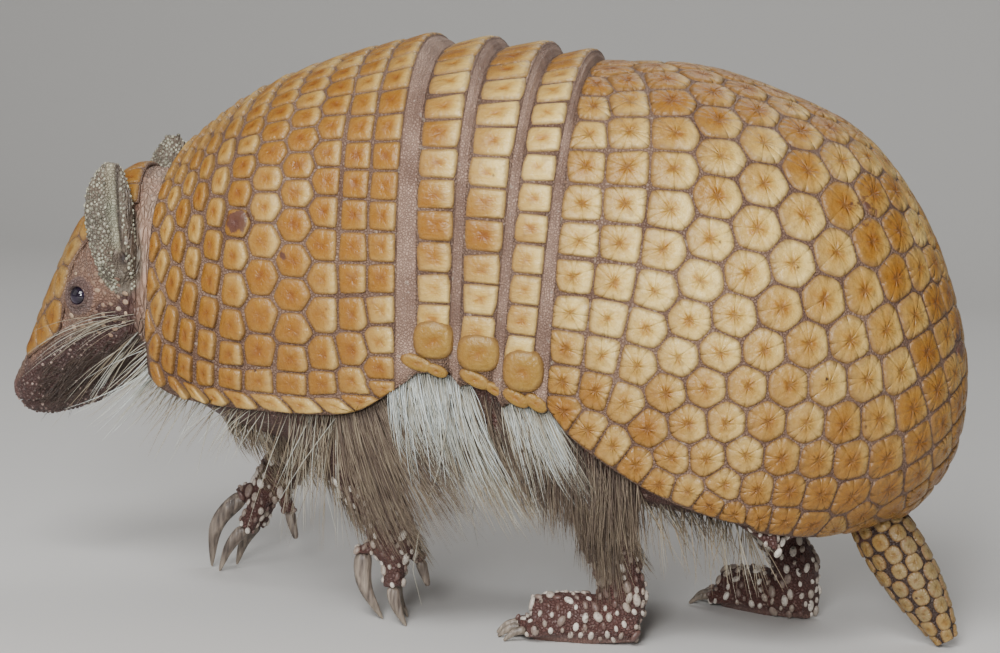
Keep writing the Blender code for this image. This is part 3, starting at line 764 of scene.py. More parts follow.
# Healed wounds on the shell: middle and reach.
OLD_WOUNDS = [((-60.4, -46.5, 102), 4.0), ((96, -31, 115), 5.0), ((120.5, -10, 80), 4.5),
              ((-48.2, -46.5, 94), 1.1), ((-47.8, -47, 88.8), 0.8), ((-9.5, -46, 113), 0.9),
              ((84.4, -40, 49.3), 0.8)]
WOUND_COLOUR = (0.075, 0.032, 0.030)


def star_lines(look, rim, centre, offset):
    """Rays out of each scute's middle: soft streaks, narrow furrows, petals between them."""
    raised = look.vectors("PROJECT", offset, look.carried("scute_up", "Vector")).outputs[0]
    flat = look.vectors("SUBTRACT", offset, raised).outputs[0]
    spoke = look.vectors("NORMALIZE", flat).outputs[0]
    star_at = look.vectors("ADD", spoke, look.scaled(centre, 700.0)).outputs[0]
    aside = look.math("ABSOLUTE", look.less(look.noise(star_at, 1.5, 0.0), 0.5))
    arms = look.times(look.span(rim, 0.08, 0.2), look.span(rim, 0.26, 0.5, 0.65, 0.2))
    outward = look.most(arms, look.span(rim, 0.5, 0.88))
    return (look.noise(star_at, 2.6, 2.0),
            look.times(look.span(aside, 0.0, 0.04, 1.0, 0.0), outward),
            look.times(look.span(aside, 0.0, 0.17), outward))


def paleness(look, chance, behind, uneven, even, tile, pale_foot):
    """How pale the horn is, most of all high on the rear shield and behind each middle.

    High on the rear shield the paleness is partly the horn's own colour and partly a painted pool
    of light, giving way to painted shade towards the top. Behind each middle it is a painted
    highlight on the raised rear of the scute.
    """
    along, _, up = look.split(look.place)
    # the pale patch high on the rear shield: partly the horn's own colour, partly a painted pool of
    # light with painted shade above it on the top
    rearward = look.times(look.span(along, -0.012, 0.045),
                          look.span(along, 0.070, 0.122, 1.0, 0.1))
    upper = look.times(look.span(up, 0.040, 0.085), look.span(up, 0.106, 0.138, 1.0, 0.0))
    pale = look.plus(look.times(look.times(rearward, upper), 0.95),
                     look.span(uneven["Blotch"], 0.42, 0.68, -0.2, 0.22 + even),
                     look.times(look.less(chance, 0.5), 0.5),
                     # painted highlight on the raised rear of each scute
                     look.span(behind, 0.2 * tile, tile, 0.0, 0.42))
    if pale_foot:
        pale = look.plus(pale, look.span(up, 0.0575, 0.0595, pale_foot, 0.0))
    return look.span(pale, 0.0, 1.0)


def scute_material(name, golden, straw, star_depth=1.0, lie=(1, 1, 1), grime=0.35, even=0.0,
                   tile=0.0042, pale_foot=0.0):
    """Yellow horn: orange round a pit in each scute's middle, with furrows out to its rim.

    golden and straw are the colours of a dark and of a pale scute. star_depth is the strength
    of the furrows, lie stretches the mottle, even makes more scutes pale, tile is how far
    behind its middle a scute is fully pale with its painted highlight, and how far ahead of it
    the painted shade on its front reaches, and pale_foot lightens the scutes' lowest row.
    """
    look = Look(name, (0.5, 0.3, 0.08), 0.34)
    look.shader.inputs["Specular IOR Level"].default_value = 0.32
    rim, chance = look.carried("scute_rim"), look.carried("scute_chance")
    centre = look.carried("scute_centre", "Vector")
    offset = look.vectors("SUBTRACT", look.place, centre).outputs[0]
    behind, up = look.split(offset)["X"], look.split(look.place)["Z"]
    star, furrow, petal = star_lines(look, rim, centre, offset)
    uneven = look.flecks(26.0, 620.0, 330.0, 0.003)
    mottle = look.noise(look.drawn(lie), 480.0, 4.0, 0.65)
    inner = look.math("POWER", look.less(1.02, rim), 0.6)
    # how far out from the middle a point's colour is taken, made ragged by rays and mottle
    from_middle = look.most(look.span(rim, 0.06, 0.58, 0.05, 0.66), rim)
    rays = look.times(look.less(star, 0.5), 0.45 * star_depth)
    ragged = look.plus(rays, look.times(look.less(mottle, 0.5), 1.7))
    shifted = look.plus(from_middle, look.times(ragged, inner),
                        look.times(look.less(chance, 0.5), 0.16))
    # at each scute's foot the colour runs to the table's last, dark step: painted shade
    shifted = look.most(look.math("MINIMUM", shifted, 0.9), look.span(rim, 0.955, 1.0))
    pale = paleness(look, chance, behind, uneven, even, tile, pale_foot)
    colour = look.blend(pale, look.steps(shifted, golden), look.steps(shifted, straw))
    # grime, painted shade low on the body, on the sunk fronts and round the rims, darker
    # furrows and pits, specks
    # darker along the furrows and in the middle pit
    worn = look.most(look.times(furrow, 0.19 * star_depth),
                     look.span(rim, 0.05, 0.22, 0.5 * star_depth, 0.0))
    for share, shade in ((look.span(uneven["Grain"], 0.56, 0.74, 0.0, grime), (0.20, 0.105, 0.05)),
                         # painted shade, darker low on the body
                         (look.span(up, 0.032, 0.095, 0.42, 0.0), (0.21, 0.105, 0.030)),
                         # painted shade on the sunk front of each scute
                         (look.span(behind, -0.9 * tile, -0.1 * tile, 0.42, 0.0),
                          (0.21, 0.088, 0.016)),
                         # painted shade round each scute's rim
                         (look.span(rim, 0.74, 1.0, 0.0, 0.62), (0.17, 0.088, 0.036)),
                         (worn, (0.17, 0.082, 0.022)),
                         (uneven["Specks"], (0.045, 0.02, 0.014))):
        colour = look.blend(share, colour, shade)
    for middle, reach in OLD_WOUNDS:
        reach *= MM
        away = look.vectors("DISTANCE", look.place, placed([middle])[0]).outputs["Value"]
        away = look.plus(away, look.span(mottle, 0.3, 0.7, -0.5 * reach, 0.5 * reach))
        colour = look.blend(look.span(away, 0.7 * reach, reach, 0.85, 0.0), colour, WOUND_COLOUR)
    carved = look.less(look.times(petal, 0.5 * star_depth), look.times(furrow, 0.16 * star_depth))
    height = look.plus(look.times(look.times(star, inner), 0.4 * star_depth), carved,
                       look.plus(look.times(uneven["Grain"], 0.4), look.times(mottle, 0.5)))
    return look.dress(colour, look.span(uneven["Grain"], 0.3, 0.7, 0.24, 0.44),
                      look.relief(height, 0.0011, 0.75))


def creased_skin(name, base, scales, net, tones, in_crease, dust):
    """Matt skin between the horn: two tones, a net of dark creases and pale dust.

    scales are those of the flecks and net that of the creases; in_crease and dust are each a
    strength and a colour.
    """
    look = Look(name, base, 0.6)
    uneven = look.flecks(*scales, 0.1)
    crease, folds = look.wrinkles(look.place, net, 0.0003)
    colour = look.blend(look.span(uneven["Blotch"], 0.35, 0.65), *tones)
    colour = look.blend(look.span(crease, 0.0, 1.0, in_crease[0], 0.0), colour, in_crease[1])
    colour = look.blend(look.times(uneven["Specks"], dust[0]), colour, dust[1])
    return look.dress(colour, normal=folds)


FRONT_HORN = scute_material("scute_horn_golden", GOLDEN_HORN, STRAW_HORN, 0.22, (1, 1, 0.55),
                            tile=0.0028, pale_foot=0.45)
GROOVE_SKIN = creased_skin("groove_skin", (0.13, 0.07, 0.055), (60.0, 700.0, 420.0), 1300.0,
                           [(0.125, 0.068, 0.044), (0.22, 0.135, 0.090)],
                           (0.45, (0.08, 0.04, 0.028)), (0.6, (0.34, 0.26, 0.20)))
MARGIN_INSET = 3.2               # from a row's last scute to the plate's edge
CROWDED = 4.7                    # two scutes whose middles are closer than this become one


class RowLine:
    """One row's middle line on the left half of a plate, from the midline to the edge."""

    def __init__(self, plate, along, across):
        self.along, self.across = along, across
        self.points = np.array([plate.at(s, -f)[0] for s, f in zip(along, across)])
        steps = norm(np.diff(self.points, axis=0), axis=1)
        self.length = np.r_[0, np.cumsum(steps)]

    def nearest(self, point):
        """How far down the line the place nearest to a point lies."""
        return float(self.length[norm(self.points - point, axis=1).argmin()])

    def point(self, place):
        return between(place, self.length, self.points)

    def share(self, place):
        """The shares along and across the plate of a place down the line."""
        return (float(np.interp(place, self.length, self.along)),
                float(np.interp(place, self.length, self.across)))


def next_row(line, before, before_places, pitch, aligned, inset=MARGIN_INSET):
    """Places down a line that stand beside, or in the gaps of, the row before it."""
    if aligned:
        places = [line.nearest(before.point(p)) if p > 0 else 0.0 for p in before_places]
    else:
        pairs = zip(before_places[:-1], before_places[1:])
        places = [line.nearest((before.point(a) + before.point(b)) / 2) for a, b in pairs]
        if before_places[0] > 0:
            places = [0.0] + places
    margin = line.length[-1] - inset
    while places and places[-1] > margin - 0.66 * pitch(line, places[-1]):
        places.pop()
    while places and places[-1] < margin - 1.66 * pitch(line, places[-1]):
        places.append(places[-1] + pitch(line, places[-1]))
    return places


def both_sides(lines_and_places, margin_rows, inset=MARGIN_INSET, crowded=CROWDED):
    """Seeds on both halves of a plate, with one on the margin for each row that reaches it."""
    seeds, spots = [], []
    for number, (line, places) in enumerate(lines_and_places):
        marginal = [line.length[-1] - inset] if number in margin_rows else []
        for place in marginal + list(places):
            s, f = line.share(place)
            spot = line.point(place)
            near = [norm(spot - other) for other in spots]
            if near and min(near) < crowded:
                continue
            s = max(s, 0.02)
            spots.append(spot)
            seeds.extend([(s, 0.0)] if place < 2.0 else [(s, -f), (s, f)])
    return seeds


FRONT_COLUMNS = 11
# Where the columns begin and end along the shield, and how slender their scutes are.
FRONT_COLUMN_ENDS = [0, 0.08, 0.15, 0.215, 0.282, 0.365, 0.462, 0.575, 0.688, 0.788, 0.888, 1]
FRONT_SLENDER = [1.6, 1.75, 1.9, 1.9, 1.6, 1.2, 1.0, 0.95, 1.0, 1.0, 1.0]
FRONT_MARGIN_INSET, FRONT_MARGIN_GAP = 1.9, 5.0
FRONT_ALIGNED = 3                # columns next to the bands that stand in line
FRONT_PITCH = 7.5
FRONT_BEADS, BEAD_PITCH = 5, 8.3
MARGIN_REACH = 32                # how far up a column the margin's spacing is felt
BEYOND = 40                      # the drawing-out goes on this far past the shield's ends


def meet_margin(line, places, inset, gap, pitch):
    """Eases a row's last places so that it ends one gap above the scute on the margin."""
    last = line.length[-1] - inset - gap
    while last - places[-1] > pitch / 2:
        places = places + [places[-1] + pitch]
    places = np.array(places)
    near_margin = np.clip(1 - (places[-1] - places) / MARGIN_REACH, 0, 1)
    return list(places + (last - places[-1]) * near_margin)


def front_seeds():
    """Columns of scutes, laid from the last squarer ones forward to the bead column."""
    ends = FRONT_COLUMN_ENDS
    rows = []
    for column in range(FRONT_COLUMNS - 1, -1, -1):
        t = np.linspace(0, 1, 60)
        line = RowLine(FRONT_PLATE, np.full(60, (ends[column] + ends[column + 1]) / 2), t)
        if column == FRONT_BEADS - 1:
            places = list(np.arange(0, line.length[-1] - FRONT_MARGIN_GAP, BEAD_PITCH))
        elif rows:
            aligned = FRONT_COLUMNS - 1 - column < FRONT_ALIGNED
            places = next_row(line, *rows[-1], lambda *_: FRONT_PITCH, aligned,
                              FRONT_MARGIN_INSET)
        else:
            inner = line.length[-1] - FRONT_MARGIN_INSET - 0.7 * FRONT_PITCH
            places = list(np.arange(int(inner / FRONT_PITCH) + 1) * FRONT_PITCH)
        places = meet_margin(line, places, FRONT_MARGIN_INSET, FRONT_MARGIN_GAP, FRONT_PITCH)
        rows.append((line, places))
    return both_sides(rows, range(FRONT_COLUMNS), FRONT_MARGIN_INSET, crowded=3.6)


FRONT_PLATE = Plate(shell_grid(front_station))
plate_bed("front_shield_bed", FRONT_PLATE, GROOVE_SKIN, "shell_front")
run = FRONT_EDGE[0][0] + np.array(FRONT_COLUMN_ENDS) * (FRONT_TOP[-1][0] - FRONT_EDGE[0][0])
drawn_out = np.r_[0, np.cumsum(np.diff(run) * FRONT_SLENDER)]
run = np.r_[run[0] - BEYOND, run, run[-1] + BEYOND]
drawn_out = np.r_[-BEYOND, drawn_out, drawn_out[-1] + BEYOND]
FRONT_RIM = np.array([FRONT_PLATE.grid[:, 0], FRONT_PLATE.grid[:, -1]]).reshape(-1, 3)


def slant_margin(outline):
    """Leans the scutes along the lower edge rearward, as tiles that overlap."""
    depth = np.array([norm(FRONT_RIM - point, axis=1).min() for point in outline])
    shift = 1.15 * np.maximum(5.0 - depth, 0)
    ends = np.minimum((outline[:, 0] + 86) / 8, (-17 - outline[:, 0]) / 8)
    return outline + np.outer(shift * np.clip(ends, 0, 1), (1, 0, 0))


def front_bead(x):
    """The foremost scutes stand up as separate narrow beads, tipped up at the rear."""
    share = 1 - min(max((x + 70) / 16, 0), 1)
    return 1 - 0.05 * share, 1 + 0.55 * share, 0.07 + 0.3 * share


scute_mosaic("front_shield_scutes", FRONT_PLATE, front_seeds(), FRONT_HORN, 9, rounds=1,
             stretch=(run, drawn_out), lean=slant_margin, bead=front_bead)


# ============================================================ rear shield
# The pelvic shield is the largest dome. Rows of six-sided scutes run over it from edge to
# edge, bowed to the rear on the back, and a row of smaller ones follows its lower edge.

REAR_TOP = [(22.5, 146), (48, 146.3), (69, 141), (90, 132), (105, 116), (115, 97),
            (121.5, 74), (121, 54), (116, 42), (109.5, 34)]
REAR_EDGE = [(19.5, 60.5), (27, 53), (46, 42), (65, 35), (84, 31), (93, 30.3), (98, 31.2)]
REAR_WIDTH = [(0, 50), (0.3, 51.5), (0.5, 50), (0.7, 44), (0.85, 33.5), (0.94, 22), (1, 13)]
REAR_WIDEST = [(0, 0.52), (0.25, 0.6), (0.5, 0.8), (0.7, 1.0), (1, 1.0)]
REAR_ROUND = [(0, 2.42), (0.5, 2.2), (1, 2.0)]
# A row's start on the midline and its end on the lower edge, as shares of each.
REAR_ROW_KEYS = [(1, -0.017, 0.154), (2, 0.063, 0.239), (4, 0.18, 0.399), (6, 0.305, 0.549),
                 (8, 0.429, 0.692), (10, 0.544, 0.805), (12, 0.64, 0.965)]
REAR_ROWS_TO_EDGE = 12
REAR_ROWS_TO_TAIL = 5
PITCH_MIDLINE, PITCH_MARGIN, PITCH_FADE = 10.9, 8.0, 30.0


def rear_station(s):
    """The rear shield's cross-section at s, as front_station gives it."""
    top = smooth_path(REAR_TOP, s)[0]
    edge = smooth_path(REAR_EDGE, s)[0]
    widest = min(smooth_value(REAR_WIDEST, s), 1.0)
    return top, edge, smooth_value(REAR_WIDTH, s), widest, smooth_value(REAR_ROUND, s)


def rear_row(number):
    """Shares along and across the plate of a fine line down one row, midline to edge."""
    t = np.linspace(0, 1, 60)
    keys = np.array(REAR_ROW_KEYS)
    if number <= REAR_ROWS_TO_EDGE:
        start, stop = (np.interp(number, keys[:, 0], keys[:, k]) for k in (1, 2))
        across = t
    else:
        beyond = (number - REAR_ROWS_TO_EDGE) / (REAR_ROWS_TO_TAIL + 0.6)
        start, stop = 0.64 + 0.36 * beyond, 1.0
        across = t * (1 - beyond)
    bow = (0.037 + 0.125 * start) * (1 if number <= REAR_ROWS_TO_EDGE else 1 - beyond)
    along = start + (stop - start) * t**1.12 + bow * np.sin(math.pi * t)
    return np.minimum(along, 1.0 - 0.02 * (number > REAR_ROWS_TO_EDGE)), across


def rear_pitch(line, place):
    """The spacing down a row, smaller towards the edge."""
    from_edge = line.length[-1] - place
    fade = 1 - math.exp(-from_edge / PITCH_FADE)
    return PITCH_MARGIN + (PITCH_MIDLINE - PITCH_MARGIN) * fade


def rear_seeds():
    """Rows laid from the second one rearward, then the narrow first row in front of it."""
    rows = []
    for number in range(1, REAR_ROWS_TO_EDGE + REAR_ROWS_TO_TAIL + 1):
        line = RowLine(REAR_PLATE, *rear_row(number))
        if rows:
            places = next_row(line, *rows[-1], rear_pitch, aligned=number == 2)
        else:
            places = [0.0]
            while places[-1] < line.length[-1] - MARGIN_INSET - 1.2 * PITCH_MARGIN:
                places.append(places[-1] + 0.9 * rear_pitch(line, places[-1]))
        rows.append((line, places))
    along, across = rear_row(1)
    first = RowLine(REAR_PLATE, np.maximum(along - 0.04, 0) / 2, across)
    rows.append((first, next_row(first, *rows[0], rear_pitch, aligned=True)))
    with_margin = [k for k in range(len(rows)) if k < REAR_ROWS_TO_EDGE or k == len(rows) - 1]
    return both_sides(rows, with_margin)


SCUTE_HORN = scute_material("scute_horn_yellow", GOLDEN_HORN, STRAW_HORN)
REAR_PLATE = Plate(shell_grid(rear_station, rows=121))
plate_bed("rear_shield_bed", REAR_PLATE, GROOVE_SKIN, "shell_rear", step=3)
scute_mosaic("rear_shield_scutes", REAR_PLATE, rear_seeds(), SCUTE_HORN, 12, rounds=3,
             soften=0.85, groove=0.978)


# ============================================================ the three movable bands
# Each band is a strip of bone that slides under the plate behind it. One row of tall
# scutes covers it, and the lowest scute on each side swells into a smooth knob.

BANDS = [
    ((-16.3, 148.2), (-5.0, 151.0), (-13.2, 66.5), (-5.2, 67.5), 48.8),
    ((-2.6, 148.2), (9.6, 150.4), (-2.6, 64.5), (5.8, 65.0), 49.3),
    ((11.6, 147.0), (21.2, 149.0), (8.2, 60.5), (15.6, 61.5), 49.8),
]
BAND_PITCH = 7.8
KNOB_LENGTH = 9.8


def band_station(band, s):
    """A band's cross-section at s, as front_station gives it."""
    top_a, top_b, edge_a, edge_b, width = (np.asarray(v, float) for v in BANDS[band])
    return (top_a + (top_b - top_a) * s, edge_a + (edge_b - edge_a) * s, float(width),
            FRONT_WIDEST, SHELL_ROUND)


# A knob's middle, and its half sizes along the body and down the side.
KNOBS = [(-9.1, 75.4, 5.2, 5.0), (2.4, 73.0, 5.5, 4.9), (13.8, 69.4, 5.2, 5.5)]
# Slanted scutes of the soft edge under the bands: middle, half sizes, downward slant.
EDGE_SCUTES = [(-13.2, 69.2, 4.4, 2.0, 0.3), (-8.2, 67.6, 3.0, 1.6, 0.35),
               (1.6, 66.2, 4.4, 2.0, 0.45), (6.6, 64.0, 2.8, 1.5, 0.5),
               (12.2, 62.3, 3.8, 1.9, 0.5), (17.2, 61.4, 3.4, 1.9, 0.6)]


def signed_power(value, power):
    """The power of a value's size, with the value's sign: it squares a circle's outline."""
    return np.sign(value) * np.abs(value) ** power


def side_outline(plate, x, z, half_x, half_z, slant, power, sign, sunk):
    """A rounded outline lying on the side of a plate, clear of the plate's own edges."""
    place, normal, _ = plate.nearest((x, sign * 49, z))
    normal = normal / norm(normal)
    down = np.cross((1, 0, 0), normal)
    down *= -np.sign(down[2]) / norm(down)
    along = np.cross(down, normal)
    along *= np.sign(along[0])
    along, down = (along * math.cos(slant) + down * math.sin(slant),
                   down * math.cos(slant) - along * math.sin(slant))
    middle = np.array([x, place[1], z]) - normal * sunk
    turns = whole_turn(OUTLINE_POINTS)
    ring = middle + (half_x * signed_power(np.cos(turns), 2 / power)[:, None] * along
                     + half_z * signed_power(np.sin(turns), 2 / power)[:, None] * down)
    facing = np.cross(ring[5] - middle, ring[10] - middle) @ normal
    return ring if facing > 0 else ring[::-1]


# Knob colours from middle to rim; the last, dark step is painted shade at each knob's foot.
KNOB_SHADES = [(0.0, (0.26, 0.107, 0.013)), (0.3, (0.275, 0.138, 0.020)),
               (0.62, (0.29, 0.164, 0.028)), (0.86, (0.34, 0.207, 0.046)),
               (1.0, (0.18, 0.10, 0.046))]
KNOB_HORN = scute_material("scute_horn_smooth", KNOB_SHADES, KNOB_SHADES, 0.1, grime=0.15)
# The bands are paler (even): partly the horn's own colour, partly a painted pool of light on the
# middle of the back.
BAND_HORN = scute_material("scute_horn_streaked", GOLDEN_HORN, STRAW_HORN, 0.18, (0.35, 1, 1.2),
                           even=0.55)
band_plates = []
for band in range(len(BANDS)):
    band_plate = Plate(shell_grid(lambda s, band=band: band_station(band, s), rows=7))
    band_plates.append(band_plate)
    plate_bed(f"band_{band + 1}_bed", band_plate, GROOVE_SKIN, f"shell_band_{band + 1}")
    reach = float(np.interp(0.5, np.linspace(0, 1, len(band_plate.reach)), band_plate.reach))
    count = int(round((reach - KNOB_LENGTH) / BAND_PITCH - 0.5))
    pitch = (reach - KNOB_LENGTH) / (count + 0.5)
    middles = [k * pitch for k in range(count + 1)] + [reach - KNOB_LENGTH / 2]
    seeds = [(0.5, 0.0)] + [(0.5, sign * d / reach) for d in middles[1:] for sign in (-1, 1)]
    scute_mosaic(f"band_{band + 1}_scutes", band_plate, seeds, BAND_HORN, 9, groove=0.972,
                 soften=0.35, left_out=(len(seeds) - 1, len(seeds) - 2),
                 bead=lambda x: (1.0, 1.0, 0.06))
    x, z, half_x, half_z = KNOBS[band]
    knobs = [side_outline(band_plate, x, z, half_x, half_z, 0.0, 2.7, sign, 1.3)
             for sign in (-1, 1)]
    raised_scutes(f"band_{band + 1}_knobs", band_plate, knobs, KNOB_HORN, 2.4, 1.0)
edges = [side_outline(band_plates[k // 2], *spot, 2.3, sign, 1.6)
         for k, spot in enumerate(EDGE_SCUTES) for sign in (-1, 1)]
raised_scutes("band_edge_scutes", band_plates[1], edges, KNOB_HORN, 1.5, 1.0)


# ============================================================ skin between the bands
# Soft pinkish skin joins the bands to one another and to the shields, so that they slide.
# It stands nearly level with the scutes and is drawn into fine folds that follow the gaps.

GAP_SKIN_DEPTH, GAP_SKIN_RISE = 1.35, 0.55
GAP_SKIN_THICK = 2.5
GAP_STEPS, GAP_REACH = 12, 0.22  # rows across a gap, and the share tucked under each plate
GAP_FOLD, GAP_FOLD_TURN = 0.16, 16


GAP_SKIN = creased_skin("gap_skin", (0.24, 0.15, 0.12), (90.0, 900.0, 520.0), 1500.0,
                        [(0.215, 0.13, 0.092), (0.39, 0.255, 0.185)],
                        (0.5, (0.10, 0.052, 0.042)), (0.5, (0.42, 0.34, 0.28)))

plates = [FRONT_PLATE, *band_plates, REAR_PLATE]
points, faces = [], []
for ahead, behind in zip(plates[:-1], plates[1:]):
    first = len(points)
    a, b = ahead.grid[-1], behind.grid[0]
    inward_a = np.array([ahead.nearest(p)[1] for p in a])
    inward_b = np.array([behind.nearest(p)[1] for p in b])
    for t in np.linspace(-GAP_REACH, 1 + GAP_REACH, GAP_STEPS):
        lift = GAP_SKIN_RISE * math.sin(math.pi * min(max(t, 0), 1))
        fold = GAP_FOLD * math.sin(t * GAP_FOLD_TURN) * (0 < t < 1)
        normal = inward_a * (1 - t) + inward_b * t
        normal /= norm(normal, axis=1)[:, None]
        points.extend(a * (1 - t) + b * t - normal * (GAP_SKIN_DEPTH - lift - fold))
    faces += grid_quads(GAP_STEPS, len(a), first)
gap_skin = build_mesh("skin_between_bands", placed(points), faces, GAP_SKIN)
wall = gap_skin.modifiers.new("wall", "SOLIDIFY")
wall.thickness = GAP_SKIN_THICK * MM
wall.offset = -1
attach(gap_skin, "root")


# ============================================================ skin
# One soft brown skin covers the trunk, neck, head, ears, legs, feet and tail without a
# seam. The bodies of flesh are remeshed into one surface, which is then drawn into its
# grain, the folds of the neck, the seats of the eyes, the nostrils and the mouth.

FLESH_NODES = ("trunk", "neck", "leg_fore_left", "leg_fore_right", "leg_hind_left",
               "leg_hind_right", "foot_fore_left", "foot_fore_right", "foot_hind_left",
               "foot_hind_right")
HEAD_RINGS = [
    ((-86.0, 110.0), (-84.0, 68.0), 20.0),
    ((-90.0, 111.0), (-87.0, 66.0), 19.0),
    ((-99.0, 111.0), (-90.5, 61.5), 19.3),
    ((-107.5, 104.0), (-96.0, 56.5), 18.3),
    ((-114.0, 94.5), (-101.0, 52.0), 16.0),
    ((-119.3, 83.0), (-107.0, 48.0), 13.0),
    ((-123.6, 71.5), (-114.0, 45.2), 10.0),
    ((-127.0, 61.5), (-120.0, 43.6), 7.8),
    ((-130.3, 54.5), (-125.3, 43.6), 6.0),
    ((-131.4, 51.2), (-128.6, 45.6), 4.2),
]
HEAD_POWER = 2.2
EAR_AXIS = [(-97.0, 15.5, 80.5), (-98.6, 19.6, 86), (-100.3, 21.4, 96), (-100.8, 22.1, 106),
            (-100.2, 22.4, 112.8)]
EAR_HALF_WIDTHS = [2.4, 5.3, 6.3, 5.6, 2.2]
EAR_HALF_THICK = [2.6, 3.0, 3.1, 2.6, 1.3]
EAR_SETS = [(-1, 0.0, 0.0), (1, 6.0, 4.0)]
CONCHA_HEIGHTS, CONCHA_PLACES = (84, 100, 112), (-97.3, -99.6, -100.4)
TAIL_LINE = [(98, 0, 36), (104.5, 0, 26.3), (111, 0, 17), (117, 0, 8.0), (120.8, 0, 1.6)]
TAIL_RADII = [6.5, 7.6, 6.9, 4.9, 2.6]
EYE_CENTRE = (-109.3, 14.6, 77.0)
EYE_RADIUS = 3.0
EYE_LOOKS = (-0.42, 0.90, 0.08)
FLESH_SWELL = 0.32               # closes the hair's breadth between the solids
SKIN_VOXEL = 0.62


def plain_mesh(bm, name):
    """A mesh of what a bmesh holds."""
    mesh = bpy.data.meshes.new(name)
    bm.to_mesh(mesh)
    bm.free()
    return mesh


def closed_loft(name, rings, finish):
    """A closed body through rings of equal point count, with a fan at each end."""
    count = len(rings[0])
    points = np.vstack([*rings, np.mean(rings[0], axis=0), np.mean(rings[-1], axis=0)])
    faces = []
    for i in range(len(rings) - 1):
        for j in range(count):
            k = (j + 1) % count
            faces.append((i * count + j, i * count + k, (i + 1) * count + k, (i + 1) * count + j))
    first, last = len(points) - 2, len(points) - 1
    end = (len(rings) - 1) * count
    for j in range(count):
        k = (j + 1) % count
        faces.append((first, k, j))
        faces.append((last, end + j, end + k))
    thing = build_mesh(name, placed(points), faces, finish)
    bm = bmesh.new()
    bm.from_mesh(thing.data)
    bmesh.ops.recalc_face_normals(bm, faces=bm.faces)
    bm.to_mesh(thing.data)
    bm.free()
    return thing


def head_ring(s, turns, grow=0.0):
    """Points of the head's surface at a share of its length, turning from the crown."""
    table = np.array([(*top, *bottom, width) for top, bottom, width in HEAD_RINGS], float)
    row = smooth_path(table, s)[0]
    middle, reach = (row[0:2] + row[2:4]) / 2, (row[0:2] - row[2:4]) / 2
    reach = reach * (1 + grow / norm(reach))
    c = signed_power(np.cos(turns), 2 / HEAD_POWER)
    w = signed_power(np.sin(turns), 2 / HEAD_POWER)
    return np.stack([middle[0] + reach[0] * c, -(row[4] + grow) * w,
                     middle[1] + reach[1] * c], axis=1)


def tube_rings(line, radii, steps, sides):
    """Round rings along a line that lies in an upright plane along the body."""
    table = np.array([(*p, r) for p, r in zip(line, radii)], float)
    run = smooth_path(table, np.linspace(0, 1, steps))
    along = np.gradient(run[:, :3], axis=0)
    turns = whole_turn(sides)
    rings = []
    for row, direction in zip(run, along):
        direction = direction / norm(direction)
        side = np.array([0.0, 1.0, 0.0]) - direction * direction[1]
        side /= norm(side)
        up = np.cross(direction, side)
        ring = row[:3] + row[3] * (np.cos(turns)[:, None] * up + np.sin(turns)[:, None] * side)
        ring[:, 2] = np.maximum(ring[:, 2], 0.0)
        rings.append(ring)
    return rings


def ear_axis(sign, lift, shift):
    """The middle line of one ear."""
    return [(x + shift, sign * y, z + lift) for x, y, z in EAR_AXIS]


def ear_rings(sign, lift, shift, swell=0.0):
    """Rings up one ear: a thick leaf whose outer face has a trough behind its middle."""
    axis = ear_axis(sign, lift, shift)
    table = np.array([(*p, w, t) for p, w, t in zip(axis, EAR_HALF_WIDTHS, EAR_HALF_THICK)])
    run = smooth_path(table, np.linspace(0, 1, 40))
    turns = whole_turn(56)
    rings = []
    for share, row in zip(np.linspace(0, 1, 40), run):
        across, out = np.cos(turns), np.sin(turns)
        open_here = math.sin(math.pi * min(max((share - 0.12) / 0.8, 0), 1)) ** 0.6
        trough = 2.6 * open_here * np.exp(-((across - 0.28) / 0.22) ** 2) * (out > 0)
        rim = 0.7 * open_here * np.exp(-((across - 0.78) / 0.14) ** 2) * (out > 0)
        rings.append(np.stack([row[0] + (row[3] + swell) * across,
                               row[1] + sign * ((row[4] + swell) * out - trough + rim),
                               np.full(56, row[2])], axis=1))
    return rings


def joined_flesh():
    """Every fleshy body run together into one closed surface."""
    finish = plain_material("flesh", (0.3, 0.2, 0.16), 0.6)
    turns = whole_turn(64)
    bodies = [closed_loft("head_form", [head_ring(s, turns, -0.15) for s in np.linspace(0, 1, 48)],
                          finish),
              closed_loft("tail_form", tube_rings(TAIL_LINE, TAIL_RADII, 30, 32), finish)]
    bodies += [closed_loft("ear_form", ear_rings(*spot), finish) for spot in EAR_SETS]
    for node in FLESH_NODES:
        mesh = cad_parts[node].data.copy()
        bm = bmesh.new()
        bm.from_mesh(mesh)
        bmesh.ops.remove_doubles(bm, verts=bm.verts, dist=1e-6)
        bm.normal_update()
        for vert in bm.verts:
            vert.co += vert.normal * FLESH_SWELL * MM
        bm.to_mesh(mesh)
        bm.free()
        bodies.append(in_scene("flesh_form", mesh))
    bm = bmesh.new()
    for body in bodies:
        bm.from_mesh(body.data)
        bpy.data.objects.remove(body)
    skin = in_scene("skin", plain_mesh(bm, "skin"))
    remesh = skin.modifiers.new("one_surface", "REMESH")
    remesh.mode = "VOXEL"
    remesh.voxel_size = SKIN_VOXEL * MM
    soften = skin.modifiers.new("soften", "SMOOTH")
    soften.factor = 0.5
    soften.iterations = 4
    settle_modifiers(skin)
    return skin


def vertex_table(thing):
    """Vertex places in the animal's millimetres, and their normals."""
    return body_places(thing.data), column(thing.data.vertex_normals, "vector", 3)


def ease(value, low, high):
    """0 below low, 1 above high, smooth between."""
    t = np.clip((value - low) / (high - low), 0, 1)
    return t * t * (3 - 2 * t)


